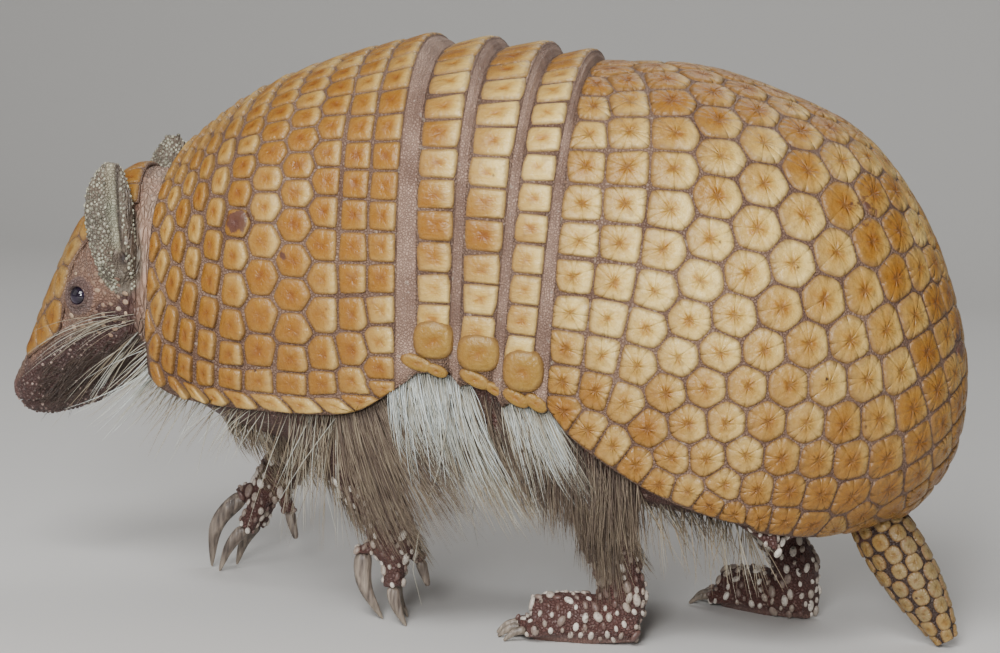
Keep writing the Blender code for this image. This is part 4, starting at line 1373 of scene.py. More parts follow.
def to_line(points, line):
    """Distance of every point from a bent line."""
    line = np.asarray(line, float)
    best = np.full(len(points), 1e9)
    for a, b in zip(line[:-1], line[1:]):
        d = b - a
        t = np.clip(((points - a) @ d) / d.dot(d), 0, 1)
        best = np.minimum(best, norm(points - a - t[:, None] * d, axis=1))
    return best


def ripple(points, size, seed):
    """Soft, repeatable unevenness from a few crossed waves, between about -1 and 1."""
    rng = np.random.default_rng(seed)
    total = np.zeros(len(points))
    for _ in range(7):
        heading = rng.normal(size=3)
        heading *= 2 * math.pi / (size * rng.uniform(0.7, 1.4) * norm(heading))
        total += np.sin(points @ heading + rng.uniform(0, 6.28))
    return total / 3.2


MOUTH_LINE = [(-131.5, 46.8), (-126, 46.2), (-119.5, 47.6), (-113, 50.8), (-109.5, 53.5)]
MOUTH_DEPTH, LIP_RISE, MOUTH_CORNER = 0.75, 0.25, -108
NOSTRIL, NOSTRIL_DEPTH = (-131.6, 2.1, 49.6), 1.5
FACE_GRAIN = 0.16
NECK_FOLD, NECK_FOLD_PITCH = 0.34, 2.3
# The seat of an eye in the skin: radius of its hole, reach of the swelling round it.
EYE_HOLE, EYE_SEAT = 2.95, 6.8
UNSEEN_SHARE = 0.45              # share of the faces kept where the shell hides the skin


def eye_frame(sign):
    """One eye's middle and the way it looks."""
    looks = np.array(EYE_LOOKS) * (1, sign, 1)
    return np.array(EYE_CENTRE) * (1, sign, 1), looks / norm(looks)


def seat_eye(moved, sign, own_side):
    """Opens the skin over one eye and swells it into folds round the opening."""
    centre, looks = eye_frame(sign)
    offset = moved - centre
    along = offset @ looks
    flat = offset - along[:, None] * looks
    r = norm(flat * (1, 1, 0.96), axis=1)
    near = (r < 8) & (along > -6) & own_side
    ball = np.sqrt(np.maximum(EYE_RADIUS**2 - r**2, 0))
    lid = ball + 0.3 + 0.35 * ease(flat[:, 2], -0.5, 1.5)
    inside = 1 - ease(r, EYE_HOLE - 0.35, EYE_HOLE)
    fades = 1 - ease(r, EYE_HOLE + 0.6, EYE_SEAT)
    folds = 0.22 * np.sin((r - EYE_HOLE) * 2 * math.pi / 1.35) * ease(r, 2.8, 3.4)
    target = np.where(r < 3.6, np.maximum(lid, 1.1), 1.3) + folds
    target = target * (1 - inside) - 1.6 * inside
    return moved + np.where(near, (target - along) * fades, 0)[:, None] * looks


def modelled_skin():
    """The joined flesh with its grain, neck folds, eye seats, nostrils, mouth and lips."""
    skin = joined_flesh()
    places, normals = vertex_table(skin)
    x, y, z = places.T
    face = 1 - ease(x, -96, -88)
    grain = FACE_GRAIN * face * ripple(places * (1, 1, 1.5), 2.2, 3)
    moved = places + normals * grain[:, None]
    neck = ease(x, -100, -92) * (1 - ease(x, -80, -76)) * (1 - ease(np.abs(y), 30, 36))
    waves = (x + 0.25 * np.abs(y) + 0.6 * ripple(places, 9, 5)) * 2 * math.pi / NECK_FOLD_PITCH
    moved += normals * (NECK_FOLD * neck * np.sin(waves))[:, None]
    for sign in (-1, 1):
        moved = seat_eye(moved, sign, np.sign(y) == sign)
        pit = norm((moved - np.array(NOSTRIL) * (1, sign, 1)) * (0.6, 1, 1), axis=1)
        moved[:, 0] += NOSTRIL_DEPTH * (1 - ease(pit, 0.3, 1.3))
    mouth = to_line(moved[:, [0, 2]], MOUTH_LINE)
    slit = (1 - ease(mouth, 0.1, 0.75)) * (x < MOUTH_CORNER)
    moved -= normals * (MOUTH_DEPTH * slit)[:, None]
    lip = np.exp(-((mouth - 1.3) / 0.5) ** 2) * (x < MOUTH_CORNER)
    moved += normals * (LIP_RISE * lip)[:, None]
    moved[:, 2] = np.maximum(moved[:, 2], 0)
    skin.data.vertices.foreach_set("co", placed(moved).ravel())
    hidden = ((x > -80) & (z > 45)) | ((np.abs(y) < 25) & (x > -70) & (x < 95) & (z > 24))
    group = skin.vertex_groups.new(name="under_shell")
    group.add([int(k) for k in np.flatnonzero(hidden)], 1.0, "REPLACE")
    thin = skin.modifiers.new("thin_out", "DECIMATE")
    thin.ratio = UNSEEN_SHARE
    thin.vertex_group = "under_shell"
    settle_modifiers(skin)
    skin.data.shade_smooth()
    return skin


# Skin colours by region, each laid over the ones before it, on the trunk's own colour.
TRUNK_TINT = (0.10, 0.055, 0.045)
SKIN_TINTS = {
    "neck": (0.38, 0.268, 0.198), "face": (0.20, 0.125, 0.088), "muzzle": (0.060, 0.030, 0.026),
    "nose": (0.26, 0.13, 0.11), "lid": (0.155, 0.098, 0.080), "ear": (0.15, 0.13, 0.10),
    # hole: near-black painted shade in the ear's opening and along the slit of its hollow
    "concha": (0.33, 0.34, 0.25), "hole": (0.015, 0.010, 0.009), "leg": (0.085, 0.038, 0.032),
    "sole": (0.21, 0.13, 0.11), "tail": (0.042, 0.026, 0.020),
}
# How far an ear's skin reaches round its middle line, by height.
EAR_FOOT_HEIGHTS, EAR_FOOT_REACH = (75, 79, 84, 92), (1.0, 4.0, 6.0, 7.3)


def write_tint(mesh, colours):
    """Keeps the skin's own colour at every point."""
    write_values(mesh, "skin_tint", np.c_[colours, np.ones(len(colours))], "FLOAT_COLOR")


def off_ear(points, sign, lift, shift):
    """How far points lie from an ear's middle line, less the reach of its skin there."""
    reach = np.interp(points[:, 2] - lift, EAR_FOOT_HEIGHTS, EAR_FOOT_REACH)
    return to_line(points, ear_axis(sign, lift, shift)) - reach


def ear_shares(shares, places, normals, sign, lift, shift):
    """How much one ear's own colours count: all of it, its hollow, and the painted shade of the
    hollow's hole and of a slit in it.
    """
    x, y, z = places.T
    near = 1 - ease(off_ear(places, sign, lift, shift), -0.7, 0.8)
    near *= np.sign(y) == sign
    off = x - np.interp(z - lift, CONCHA_HEIGHTS, CONCHA_PLACES) - shift
    outer = (normals[:, 1] * sign > 0.2) * ease(z, 89 + lift, 92 + lift)
    hollow = np.exp(-((off - 0.4) / 1.3) ** 2) * outer * near
    hole = norm(places - (-96.3 + shift, sign * 23.5, 88.0 + lift), axis=1)
    slit = np.exp(-((off - 2.0) / 0.7) ** 2) * outer * near
    # painted shade in the ear's opening and along the slit of its hollow
    dark = np.maximum(1 - ease(hole, 1.2, 3.2), 0.8 * slit)
    for region, share in (("ear", near), ("concha", hollow), ("hole", dark)):
        shares[region] = np.maximum(shares[region], share)


def mark_regions(skin):
    """Writes the colour of every point of the skin, by region."""
    places, normals = vertex_table(skin)
    x, _, z = places.T
    worn = 0.5 * ripple(places, 9, 71) + 0.3 * ripple(places, 3, 72)
    shares = {region: np.zeros(len(x)) for region in SKIN_TINTS}
    shares["neck"] = ease(x, -97, -93) * (1 - ease(x, -80, -76))
    shares["face"] = 1 - ease(x, -97, -92)
    below = ease(68 + 0.75 * (x + 112) - z + worn * 3, -1.5, 2.5)
    shares["muzzle"] = below * (1 - ease(x, -96, -90))
    nose = norm(places - (-131, 0, 48.5), axis=1)
    shares["nose"] = 0.8 * (1 - ease(nose + worn, 2.5, 6.5))
    shares["leg"] = (1 - ease(z + worn, 34, 44)) * ease(x, -80, -72)
    shares["sole"] = (1 - ease(z, 0.8, 2.6)) * ease(x, -80, -72)
    shares["tail"] = ease(x, 97, 101)
    for sign, lift, shift in EAR_SETS:
        from_eye = norm(places - eye_frame(sign)[0], axis=1)
        shares["lid"] = np.maximum(shares["lid"], 1 - ease(from_eye, 3.6, 6.0))
        ear_shares(shares, places, normals, sign, lift, shift)
    total = np.tile(TRUNK_TINT, (len(x), 1))
    for region, tint in SKIN_TINTS.items():
        share = shares[region][:, None]
        total = total * (1 - share) + np.array(tint) * share
    write_tint(skin.data, total)


# Where the upright folds of the neck begin and end.
NECK_START, NECK_END = ((x + CENTRE_X) * MM for x in (-96, -80))


def skin_material():
    """Thin matt skin with a net of fine creases, darker in the creases, and pale specks of dust."""
    look = Look("bare_skin_brown", (0.2, 0.12, 0.1), 0.55)
    uneven = look.flecks(110.0, 1500.0, 700.0, 0.1)
    crease, folds = look.wrinkles(look.place, 1150.0, 0.00035)
    neck_crease, neck_folds = look.wrinkles(look.drawn((1, 1, 0.2)), 900.0, 0.0006)
    along = look.split(look.place)["X"]
    on_neck = look.times(look.span(along, NECK_START - 0.003, NECK_START + 0.001),
                         look.span(along, NECK_END, NECK_END + 0.004, 1.0, 0.0))
    crease = look.blend(on_neck, crease, neck_crease)
    folds = look.blend(on_neck, folds, neck_folds)
    colour = look.blend(look.span(uneven["Blotch"], 0.35, 0.65, 0.0, 0.55),
                        look.carried("skin_tint", "Color"), (0.62, 0.50, 0.46), "OVERLAY")
    colour = look.blend(look.span(crease, 0.0, 1.0, 0.38, 0.0), colour, (0.04, 0.02, 0.016))
    colour = look.blend(look.times(uneven["Specks"], 0.4), colour, (0.42, 0.33, 0.27))
    return look.dress(colour, look.span(uneven["Grain"], 0.3, 0.7, 0.42, 0.66), folds)


SKIN = modelled_skin()
mark_regions(SKIN)
SKIN.data.materials.clear()
SKIN_BROWN = skin_material()
SKIN.data.materials.append(SKIN_BROWN)
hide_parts(*FLESH_NODES, "head", "ear_left", "ear_right", "tail")
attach(SKIN, "root")
skin_places, skin_normals = vertex_table(SKIN)
SKIN_TREE = BVHTree.FromPolygons(skin_places.tolist(),
                                 [tuple(face.vertices) for face in SKIN.data.polygons])


# ============================================================ head shield
# A cap of large horny plates covers the crown and narrows down the muzzle to the nose. It
# is a thin curved plate that stands a little off the skin, with a dome of horn per scute.

SHIELD_REACH = [(0, 0.95), (0.3, 0.92), (0.5, 0.96), (0.66, 1.36), (0.8, 1.3), (1, 0.85)]
SHIELD_SPAN = (0.12, 0.865)
SHIELD_STAND = 1.75
SHIELD_SCUTE_HEIGHT = 1.1
SHIELD_ROWS = 8
SHIELD_PITCH = 8.2


def shield_grid(rows=49, count=49):
    """The head shield's surface: the crown of the head's own rings, a little larger."""
    shares = np.linspace(0, 1, rows)
    stations = SHIELD_SPAN[0] + (SHIELD_SPAN[1] - SHIELD_SPAN[0]) * shares
    return np.array([head_ring(s, smooth_value(SHIELD_REACH, share) * np.linspace(-1, 1, count),
                               SHIELD_STAND) for s, share in zip(stations, shares)])


# Amber horn from middle to rim; the last, dark step is painted shade at each scute's foot.
AMBER_HORN = [(0.0, (0.29, 0.15, 0.03)), (0.3, (0.34, 0.20, 0.05)),
              (0.62, (0.385, 0.255, 0.085)), (0.86, (0.41, 0.295, 0.12)),
              (1.0, (0.12, 0.08, 0.05))]
HEAD_HORN = scute_material("scute_horn_head", GOLDEN_HORN, AMBER_HORN, 0.3, (1, 1, 0.5), even=0.5)
SHIELD_PLATE = Plate(shield_grid())
plate_bed("head_shield_bed", SHIELD_PLATE, GROOVE_SKIN, "head_shield",
          sunk=0.85, thick=1.0)
shield_lines = []
for row in range(SHIELD_ROWS):
    line = RowLine(SHIELD_PLATE, np.full(60, (row + 0.5) / SHIELD_ROWS), np.linspace(0, 1, 60))
    places = next_row(line, *shield_lines[-1], lambda *_: SHIELD_PITCH, False) \
        if shield_lines else [0.5 * SHIELD_PITCH, 1.5 * SHIELD_PITCH]
    shield_lines.append((line, places or [0.0]))
scute_mosaic("head_shield_scutes", SHIELD_PLATE, both_sides(shield_lines, range(SHIELD_ROWS)),
             HEAD_HORN, 11, rounds=2, height=SHIELD_SCUTE_HEIGHT)


# ============================================================ eyes
# Small dark beads with a wet clear front sit as deep as the lids. Each lid is a thick ring
# of the same skin, wrinkled round the opening, with its outer edge sunk into the cheek.

def eye_material():
    """A near-black iris with a violet cast, under a clear wet front."""
    look = Look("eye_wet_black", (0.012, 0.008, 0.02), 0.12)
    look.shader.inputs["Specular IOR Level"].default_value = 0.25
    look.shader.inputs["Coat Weight"].default_value = 0.7
    look.shader.inputs["Coat Roughness"].default_value = 0.02
    uneven = look.flecks(260.0, 1600.0, 700.0, 0.0)
    return look.dress(look.steps(uneven["Blotch"], [(0.35, (0.006, 0.004, 0.008)),
                                                    (0.7, (0.035, 0.02, 0.05))]))


# The opening between the lids: half width and half height.
EYE_OPENING = (2.5, 2.25)
LID_REACH, LID_SWELL = 5.8, 3.75
LID_FOLD, LID_FOLD_PITCH = 0.16, 0.95
LID_SUNK = 0.3
LID_RINGS, LID_TURNS = 15, 64
LID_COLOUR = (0.17, 0.115, 0.10)


def eyelids(side, sign):
    """A thick wrinkled ring of lid round one eye, its outer edge sunk into the cheek."""
    centre, looks = eye_frame(sign)
    over = np.array((0, 0, 1)) - looks * looks[2]
    over /= norm(over)
    ahead = np.cross(looks, over)
    points, tints = [], []
    for share in np.linspace(0, 1, LID_RINGS):
        for turn in whole_turn(LID_TURNS):
            opening = 1 / math.hypot(math.cos(turn) / EYE_OPENING[0],
                                     math.sin(turn) / EYE_OPENING[1])
            r = opening + (LID_REACH - opening) * share
            flat = r * (math.cos(turn) * ahead + math.sin(turn) * over)
            hit = SKIN_TREE.ray_cast(Vector(centre + flat + looks * 9), Vector(-looks))[0]
            bare = (np.array(hit) - centre) @ looks if hit else 0.0
            ball = math.sqrt(max(EYE_RADIUS**2 - r**2, 0))
            hood = 0.25 * max(math.sin(turn), 0)
            swollen = math.sqrt(max(LID_SWELL**2 - r**2, 0)) + hood
            fold = LID_FOLD * math.cos((r - opening) * 2 * math.pi / LID_FOLD_PITCH) * (1 - share)
            high = max(swollen, bare + 0.3 * (1 - share)) + fold
            inner = min(share / 0.12, 1)
            high = (ball - LID_SUNK) * (1 - inner) + high * inner
            outer = min(max((share - 0.72) / 0.28, 0), 1)
            points.append(centre + flat
                          + looks * (high * (1 - outer) + (bare - LID_SUNK) * outer))
            tints.append(0.55 + 0.45 * share)
    faces = []
    for first in range(0, (LID_RINGS - 1) * LID_TURNS, LID_TURNS):
        for j in range(LID_TURNS):
            a, b = first + j, first + (j + 1) % LID_TURNS
            faces.append((a, a + LID_TURNS, b + LID_TURNS, b)[::-1 if sign > 0 else 1])
    lids = build_mesh(f"eyelids_{side}", placed(points), faces, SKIN_BROWN)
    write_tint(lids.data, np.outer(tints, LID_COLOUR))
    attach(lids, "root")


EYE_BLACK = eye_material()
for side, sign in (("left", -1), ("right", 1)):
    bm = bmesh.new()
    bmesh.ops.create_uvsphere(bm, u_segments=40, v_segments=24, radius=EYE_RADIUS * MM)
    bmesh.ops.translate(bm, verts=bm.verts, vec=placed(eye_frame(sign)[0]).tolist())
    eyeball = in_scene(f"eyeball_{side}", plain_mesh(bm, f"eyeball_{side}"))
    eyeball.data.shade_smooth()
    eyeball.data.materials.append(EYE_BLACK)
    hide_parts(f"eye_{side}")
    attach(eyeball, "root")
    eyelids(side, sign)


# ============================================================ claws
# Curved claws of grey-brown horn, ridged lengthwise and paler at the worn tips. The middle
# claw of each forefoot is the longest and carries the animal's weight.

def claw_material():
    """Grey-brown horn, streaked lengthwise and paler where the tips are worn."""
    look = Look("claw_horn_grey", (0.24, 0.19, 0.15), 0.4)
    streak = look.noise(look.drawn((1, 1, 0.14)), 900.0, 3.0)
    uneven = look.flecks(90.0, 1400.0, 500.0, 0.06)
    height = look.split(look.place)["Z"]
    colour = look.steps(streak, [(0.3, (0.05, 0.037, 0.031)), (0.5, (0.15, 0.118, 0.095)),
                                 (0.7, (0.30, 0.245, 0.195))])
    colour = look.blend(look.span(height, 0.0, 0.006, 0.35, 0.0), colour, (0.38, 0.32, 0.24))
    colour = look.blend(look.times(uneven["Specks"], 0.7), colour, (0.06, 0.035, 0.03))
    return look.dress(colour, look.span(uneven["Grain"], 0.3, 0.7, 0.3, 0.5),
                      look.relief(streak, 0.0009, 0.8))


CLAW_HORN = claw_material()
CLAW_SWELL = {"fore": 0.45, "hind": 0.15}
CLAW_TIP = 12                    # height over which the swelling fades towards the tips
for foot, claw_count in (("fore_left", 4), ("fore_right", 4), ("hind_left", 5),
                         ("hind_right", 5)):
    bm = bmesh.new()
    nodes = [f"claw_{foot}_{k + 1}" for k in range(claw_count)]
    for node in nodes:
        bm.from_mesh(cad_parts[node].data)
    bmesh.ops.remove_doubles(bm, verts=bm.verts, dist=1e-6)
    bmesh.ops.join_triangles(bm, faces=bm.faces, angle_face_threshold=0.7,
                             angle_shape_threshold=1.2)
    claws = in_scene(f"claws_{foot}", plain_mesh(bm, f"claws_{foot}"))
    claws.data.materials.clear()
    claws.data.materials.append(CLAW_HORN)
    claws.data.shade_smooth()
    rounding = claws.modifiers.new("rounding", "SUBSURF")
    rounding.levels = rounding.render_levels = 2
    settle_modifiers(claws)
    places, normals = vertex_table(claws)
    from_tip = np.clip(places[:, 2] / CLAW_TIP, 0, 1)[:, None]
    swollen = placed(places + normals * from_tip * CLAW_SWELL[foot[:4]])
    claws.data.vertices.foreach_set("co", swollen.ravel())
    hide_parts(*nodes)
    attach(claws, "root")


# ============================================================ tail scutes
# The short cone of the tail is ringed by oval cream scutes with dark skin between them. The
# ovals are laid ring by ring, each row in the gaps of the last, and tipped like tiles.

TAIL_SCUTE_STAND = 0.75
TAIL_SCUTE_HEIGHT = 0.95
TAIL_ROWS = 10
TAIL_PITCH = 5.5
TAIL_HALF_LENGTH = 2.55
TAIL_POWER = 2.5


def tail_grid():
    """A grid round the tail, from under the root's seam and back to it."""
    rings = tube_rings(TAIL_LINE, np.array(TAIL_RADII) + TAIL_SCUTE_STAND, 49, 64)
    return np.array([np.roll(ring, 32, axis=0)[np.r_[0:64, 0]] for ring in rings])


def tail_oval(s, f, half_around, half_along):
    """One oval outline on the tail, counter-clockwise seen from outside."""
    middle = TAIL_PLATE.at(s, f)[0]
    normal = TAIL_PLATE.nearest(middle)[1]
    along = TAIL_PLATE.at(s + 0.015, f)[0] - TAIL_PLATE.at(s - 0.015, f)[0]
    along -= normal * (along @ normal)
    along /= norm(along)
    turns = whole_turn(OUTLINE_POINTS)
    across = signed_power(np.cos(turns), 2 / TAIL_POWER)[:, None] * np.cross(along, normal)
    down = signed_power(np.sin(turns), 2 / TAIL_POWER)[:, None] * along
    ring = middle + half_around * across + half_along * down
    if np.cross(ring[5] - middle, ring[10] - middle) @ normal < 0:
        ring = ring[::-1]
    spots = [TAIL_PLATE.nearest(corner)[:2] for corner in ring]
    return [place - outward * TAIL_SCUTE_HEIGHT for place, outward in spots]


# Cream horn from middle to rim; the last, dark step is painted shade at each scute's foot.
CREAM_HORN = [(0.0, (0.18, 0.13, 0.05)), (0.3, (0.225, 0.185, 0.085)),
              (0.62, (0.26, 0.22, 0.112)), (0.86, (0.26, 0.225, 0.126)),
              (1.0, (0.055, 0.038, 0.026))]
TAIL_HORN = scute_material("scute_horn_tail", AMBER_HORN, CREAM_HORN, 0.3, grime=0.9, even=0.9)
TAIL_PLATE = Plate(tail_grid())
tail_outlines = []
rng = np.random.default_rng(61)
for row in range(TAIL_ROWS):
    s = 0.025 + 0.95 * row / (TAIL_ROWS - 1)
    girth = 2 * TAIL_PLATE.reach[int(s * (len(TAIL_PLATE.reach) - 1))]
    around = max(5, round(girth / TAIL_PITCH))
    for k in range(around):
        size = rng.uniform(0.86, 1.0)
        tail_outlines.append(tail_oval(s, (2 * k + row % 2) / around - 1 + rng.normal(0, 0.012),
                                       0.495 * girth / around * size, TAIL_HALF_LENGTH * size))
raised_scutes("tail_scutes", TAIL_PLATE, tail_outlines, TAIL_HORN, TAIL_SCUTE_HEIGHT, 1.0,
              bead=lambda x: (1.0, 1.0, 0.12))


# ============================================================ skin scales
# Small horny scales are set singly in the skin: pale ovals on the legs and feet, fine
# pebbles over the ears and grains on the muzzle. Each is a low dome bound to the skin.

def scale_tree():
    """Sets one copy of a form on every point, turned and sized by the point's own values."""
    tree, start = geometry_tree("set_scales", Form="Object", Finish="Material")
    form = wire(tree, "GeometryNodeObjectInfo", None, [("Object", start["Form"])])
    spin = wire(tree, "FunctionNodeEulerToRotation", None,
                [(0, own_value(tree, "scale_lie", "FLOAT_VECTOR"))])
    cloud = wire(tree, "GeometryNodeMeshToPoints", None, [("Mesh", start["Geometry"])])
    sown = wire(tree, "GeometryNodeInstanceOnPoints", None,
                [("Points", cloud.outputs[0]), ("Instance", form.outputs["Geometry"]),
                 ("Rotation", spin.outputs[0]),
                 ("Scale", own_value(tree, "scale_size", "FLOAT_VECTOR"))])
    return close_tree(tree, sown.outputs[0], start["Finish"])


SCALE_TREE = scale_tree()


def dome_form(name, rings, sides):
    """A low closed dome one unit across, with its flat foot just under its rim."""
    bm = bmesh.new()
    loops = []
    for radius, height in rings:
        loops.append([bm.verts.new((0.5 * radius * math.cos(2 * math.pi * k / sides),
                                    0.5 * radius * math.sin(2 * math.pi * k / sides), height))
                      for k in range(sides)])
    for low, high in zip(loops[:-1], loops[1:]):
        for k in range(sides):
            bm.faces.new((low[k], low[(k + 1) % sides], high[(k + 1) % sides], high[k]))
    bm.faces.new(loops[-1])
    bm.faces.new(loops[0][::-1])
    mesh = plain_mesh(bm, name)
    mesh.shade_smooth()
    return bpy.data.objects.new(name, mesh)


SCALE_FORM = dome_form("scale_form", [(0.92, -0.25), (1.0, 0.12), (0.86, 0.42), (0.5, 0.62)], 10)
PEBBLE_FORM = dome_form("pebble_form", [(0.9, -0.3), (1.0, 0.1), (0.55, 0.55)], 7)


BODY_FRONT, BODY_LENGTH, BODY_AXIS = -134, 264, 60
MAP_PATCH = 0.003                # reach of one scale or hair on the OFBake map


def flat_root(places):
    """Where places on the body lie once it is unrolled: along it, and round from the back."""
    around = np.arctan2(places[:, 1], places[:, 2] - BODY_AXIS) / (2 * math.pi) + 0.5
    along = (places[:, 0] - BODY_FRONT) / BODY_LENGTH
    return MAP_START + MAP_SPAN * np.stack([along, around], axis=1)


def sown_places(places, wanted, spacing, seed):
    """Picks wanted vertices in random order so that no two lie closer than the spacing."""
    picked = np.flatnonzero(wanted)
    np.random.default_rng(seed).shuffle(picked)
    cells, kept = {}, []
    for k in picked:
        cell = tuple(np.floor(places[k] / spacing).astype(int))
        others = [other for step in itertools.product((-1, 0, 1), repeat=3)
                  for other in cells.get(tuple(a + b for a, b in zip(cell, step)), ())]
        gaps = places[k] - places[others]
        if not others or (gaps**2).sum(axis=1).min() >= spacing**2:
            cells.setdefault(cell, []).append(k)
            kept.append(k)
    return np.array(kept)


def set_scales(name, form, wanted, spacing, sizes_of, lie, finish, seeds):
    """A piece of many scales over part of the skin: long axis along the lie, foot sunk in.

    sizes_of gives the sizes for a number of scales; seeds are for the places and the turns.
    """
    picked = sown_places(skin_places, wanted, spacing, seeds[0])
    places, sizes = skin_places[picked], sizes_of(len(picked))
    rng = np.random.default_rng(seeds[1])
    turns = []
    for normal in skin_normals[picked]:
        up = Vector(normal).normalized()
        along = Vector(lie) + Vector(rng.normal(0, 0.25, 3))
        side = up.cross(along).normalized()
        turns.append(tuple(Matrix((side.cross(up), side, up)).transposed().to_euler()))
    mesh = bpy.data.meshes.new(name)
    mesh.from_pydata(placed(places).tolist(), [], [])
    write_values(mesh, "scale_lie", turns, "FLOAT_VECTOR")
    write_values(mesh, "scale_size", sizes * MM, "FLOAT_VECTOR")
    scales = in_scene(name, mesh)
    mesh = grown(scales, SCALE_TREE, {"Form": form, "Finish": finish})
    each = len(form.data.vertices)
    write_values(mesh, "scale_tone", np.repeat(rng.uniform(0, 1, len(places)), each))
    around = np.arange(len(mesh.vertices)) % each * (2 * math.pi / each)
    patch = MAP_PATCH * np.stack([np.cos(around), np.sin(around)], axis=1)
    write_map(mesh, np.repeat(flat_root(places), each, axis=0) + patch)
    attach(scales, "root")


def scale_material(name, roughness, steps):
    """Small scales whose colour changes from one to the next, with dirt between them."""
    look = Look(name, steps[1][1], roughness)
    uneven = look.flecks(90.0, 1300.0, 480.0, 0.08)
    mixed = look.plus(look.times(look.carried("scale_tone"), 0.6),
                      look.times(uneven["Blotch"], 0.5))
    colour = look.blend(look.span(uneven["Grain"], 0.5, 0.75, 0.0, 0.6),
                        look.steps(mixed, steps), steps[0][1])
    colour = look.blend(uneven["Specks"], colour, (0.05, 0.028, 0.022))
    return look.dress(colour, normal=look.relief(uneven["Grain"], 0.0003, 0.6))


LEG_SCALE_HORN = scale_material("leg_scale_horn", 0.45, [
    (0.3, (0.11, 0.06, 0.05)), (0.5, (0.33, 0.27, 0.22)), (0.8, (0.62, 0.57, 0.50))])
EAR_PEBBLE_SKIN = scale_material("ear_pebble_skin", 0.5, [
    (0.3, (0.115, 0.105, 0.078)), (0.5, (0.24, 0.225, 0.165)), (0.8, (0.42, 0.41, 0.31))])
CHEEK_SCALE_SKIN = scale_material("cheek_scale_skin", 0.5, [
    (0.3, (0.17, 0.10, 0.07)), (0.5, (0.27, 0.175, 0.115)), (0.8, (0.42, 0.31, 0.21))])
MUZZLE_GRAIN_SKIN = scale_material("muzzle_grain_skin", 0.5, [
    (0.3, (0.045, 0.024, 0.02)), (0.6, (0.10, 0.06, 0.052)), (0.85, (0.34, 0.25, 0.21))])

size_rng = np.random.default_rng(22)


def leg_scale_sizes(count):
    """Ovals of many sizes, most of them small."""
    across = 0.62 + 0.85 * size_rng.uniform(0, 1, count) ** 2.5
    long = 2.5 * across * size_rng.uniform(0.85, 1.25, count)
    return np.stack([long, 1.65 * across, 0.8 + 0.3 * across], axis=1)


def grain_sizes(size, low, high):
    """One size, scaled at random for each grain."""
    return lambda count: np.tile(size, (count, 1)) * size_rng.uniform(low, high, (count, 1))


sx, sy, sz = skin_places.T
on_leg = (sz < 36) & (sz > 1.5) & (np.abs(sy) > 14) & (skin_normals[:, 2] > -0.6)
on_leg &= ~((np.abs(sy) < 26) & (sx > -70) & (sx < 95) & (sz > 33))
set_scales("leg_scales", SCALE_FORM, on_leg, 2.25, leg_scale_sizes, (0.1, 0, -1),
           LEG_SCALE_HORN, (21, 23))

by_ear = np.zeros(len(skin_places), bool)
for sign, lift, shift in EAR_SETS:
    near = off_ear(skin_places, sign, lift, shift) < 0
    near &= (np.sign(sy) == sign) & (np.abs(sy) > 16.0)
    strip = np.interp(sz - lift, CONCHA_HEIGHTS, CONCHA_PLACES) + shift
    clear = (sx < strip - 1.0) | (np.abs(sx - strip - 3.4) < 0.55)
    by_ear |= near & (clear | (sign * skin_normals[:, 1] < 0))
set_scales("ear_pebbles", PEBBLE_FORM, by_ear, 0.82, grain_sizes((1.0, 0.85, 0.55), 0.55, 1.2),
           (0, 0, 1), EAR_PEBBLE_SKIN, (31, 32))

on_cheek = np.zeros(len(skin_places), bool)
for sign in (-1, 1):
    from_eye = skin_places - eye_frame(sign)[0]
    away = norm(from_eye, axis=1)
    on_cheek |= (away > 5.9) & (away < 14) & (from_eye[:, 2] < 7) & (sx > -112) & (sx < -92)
on_cheek &= (sz > 67) & ~by_ear
set_scales("cheek_scales", SCALE_FORM, on_cheek, 2.1, grain_sizes((1.6, 1.25, 0.3), 0.75, 1.15),
           (1, 0, -0.4), CHEEK_SCALE_SKIN, (36, 37))

on_muzzle = (sx < -103) & (sz < 66 + 0.9 * (sx + 112))
on_muzzle |= (sx < -92) & (sz < 66) & (sx > -105)
set_scales("muzzle_grains", PEBBLE_FORM, on_muzzle, 1.15, grain_sizes((0.85, 0.8, 0.55), 0.6, 1.2),
           (1, 0, 0), MUZZLE_GRAIN_SKIN, (41, 42))


# ============================================================ hair
# Coarse straight hair grows from the soft skin under the shell's edge and on the cheeks.
# It is brown on the legs and throat, white in two tufts under the bands, and each hair is a
# thin cone rooted in the skin; hairs lean together into locks.

HAIR_JOINTS = 7


def hair_tree():
    """Makes each line of edges a thin three-sided hair, as thick as its points say."""
    tree, start = geometry_tree("thicken_hairs", Girth="Float", Finish="Material")
    radius = worked(tree, "MULTIPLY", own_value(tree, "hair_girth"), start["Girth"])
    line = wire(tree, "GeometryNodeMeshToCurve", None, [("Mesh", start["Geometry"])])
    ring = wire(tree, "GeometryNodeCurvePrimitiveCircle", None,
                [("Resolution", 3), ("Radius", 1.0)])
    tube = wire(tree, "GeometryNodeCurveToMesh", None,
                [("Curve", line.outputs[0]), ("Profile Curve", ring.outputs[0]),
                 ("Scale", radius), ("Fill Caps", True)])
    return close_tree(tree, tube.outputs[0], start["Finish"])


HAIR_TREE = hair_tree()


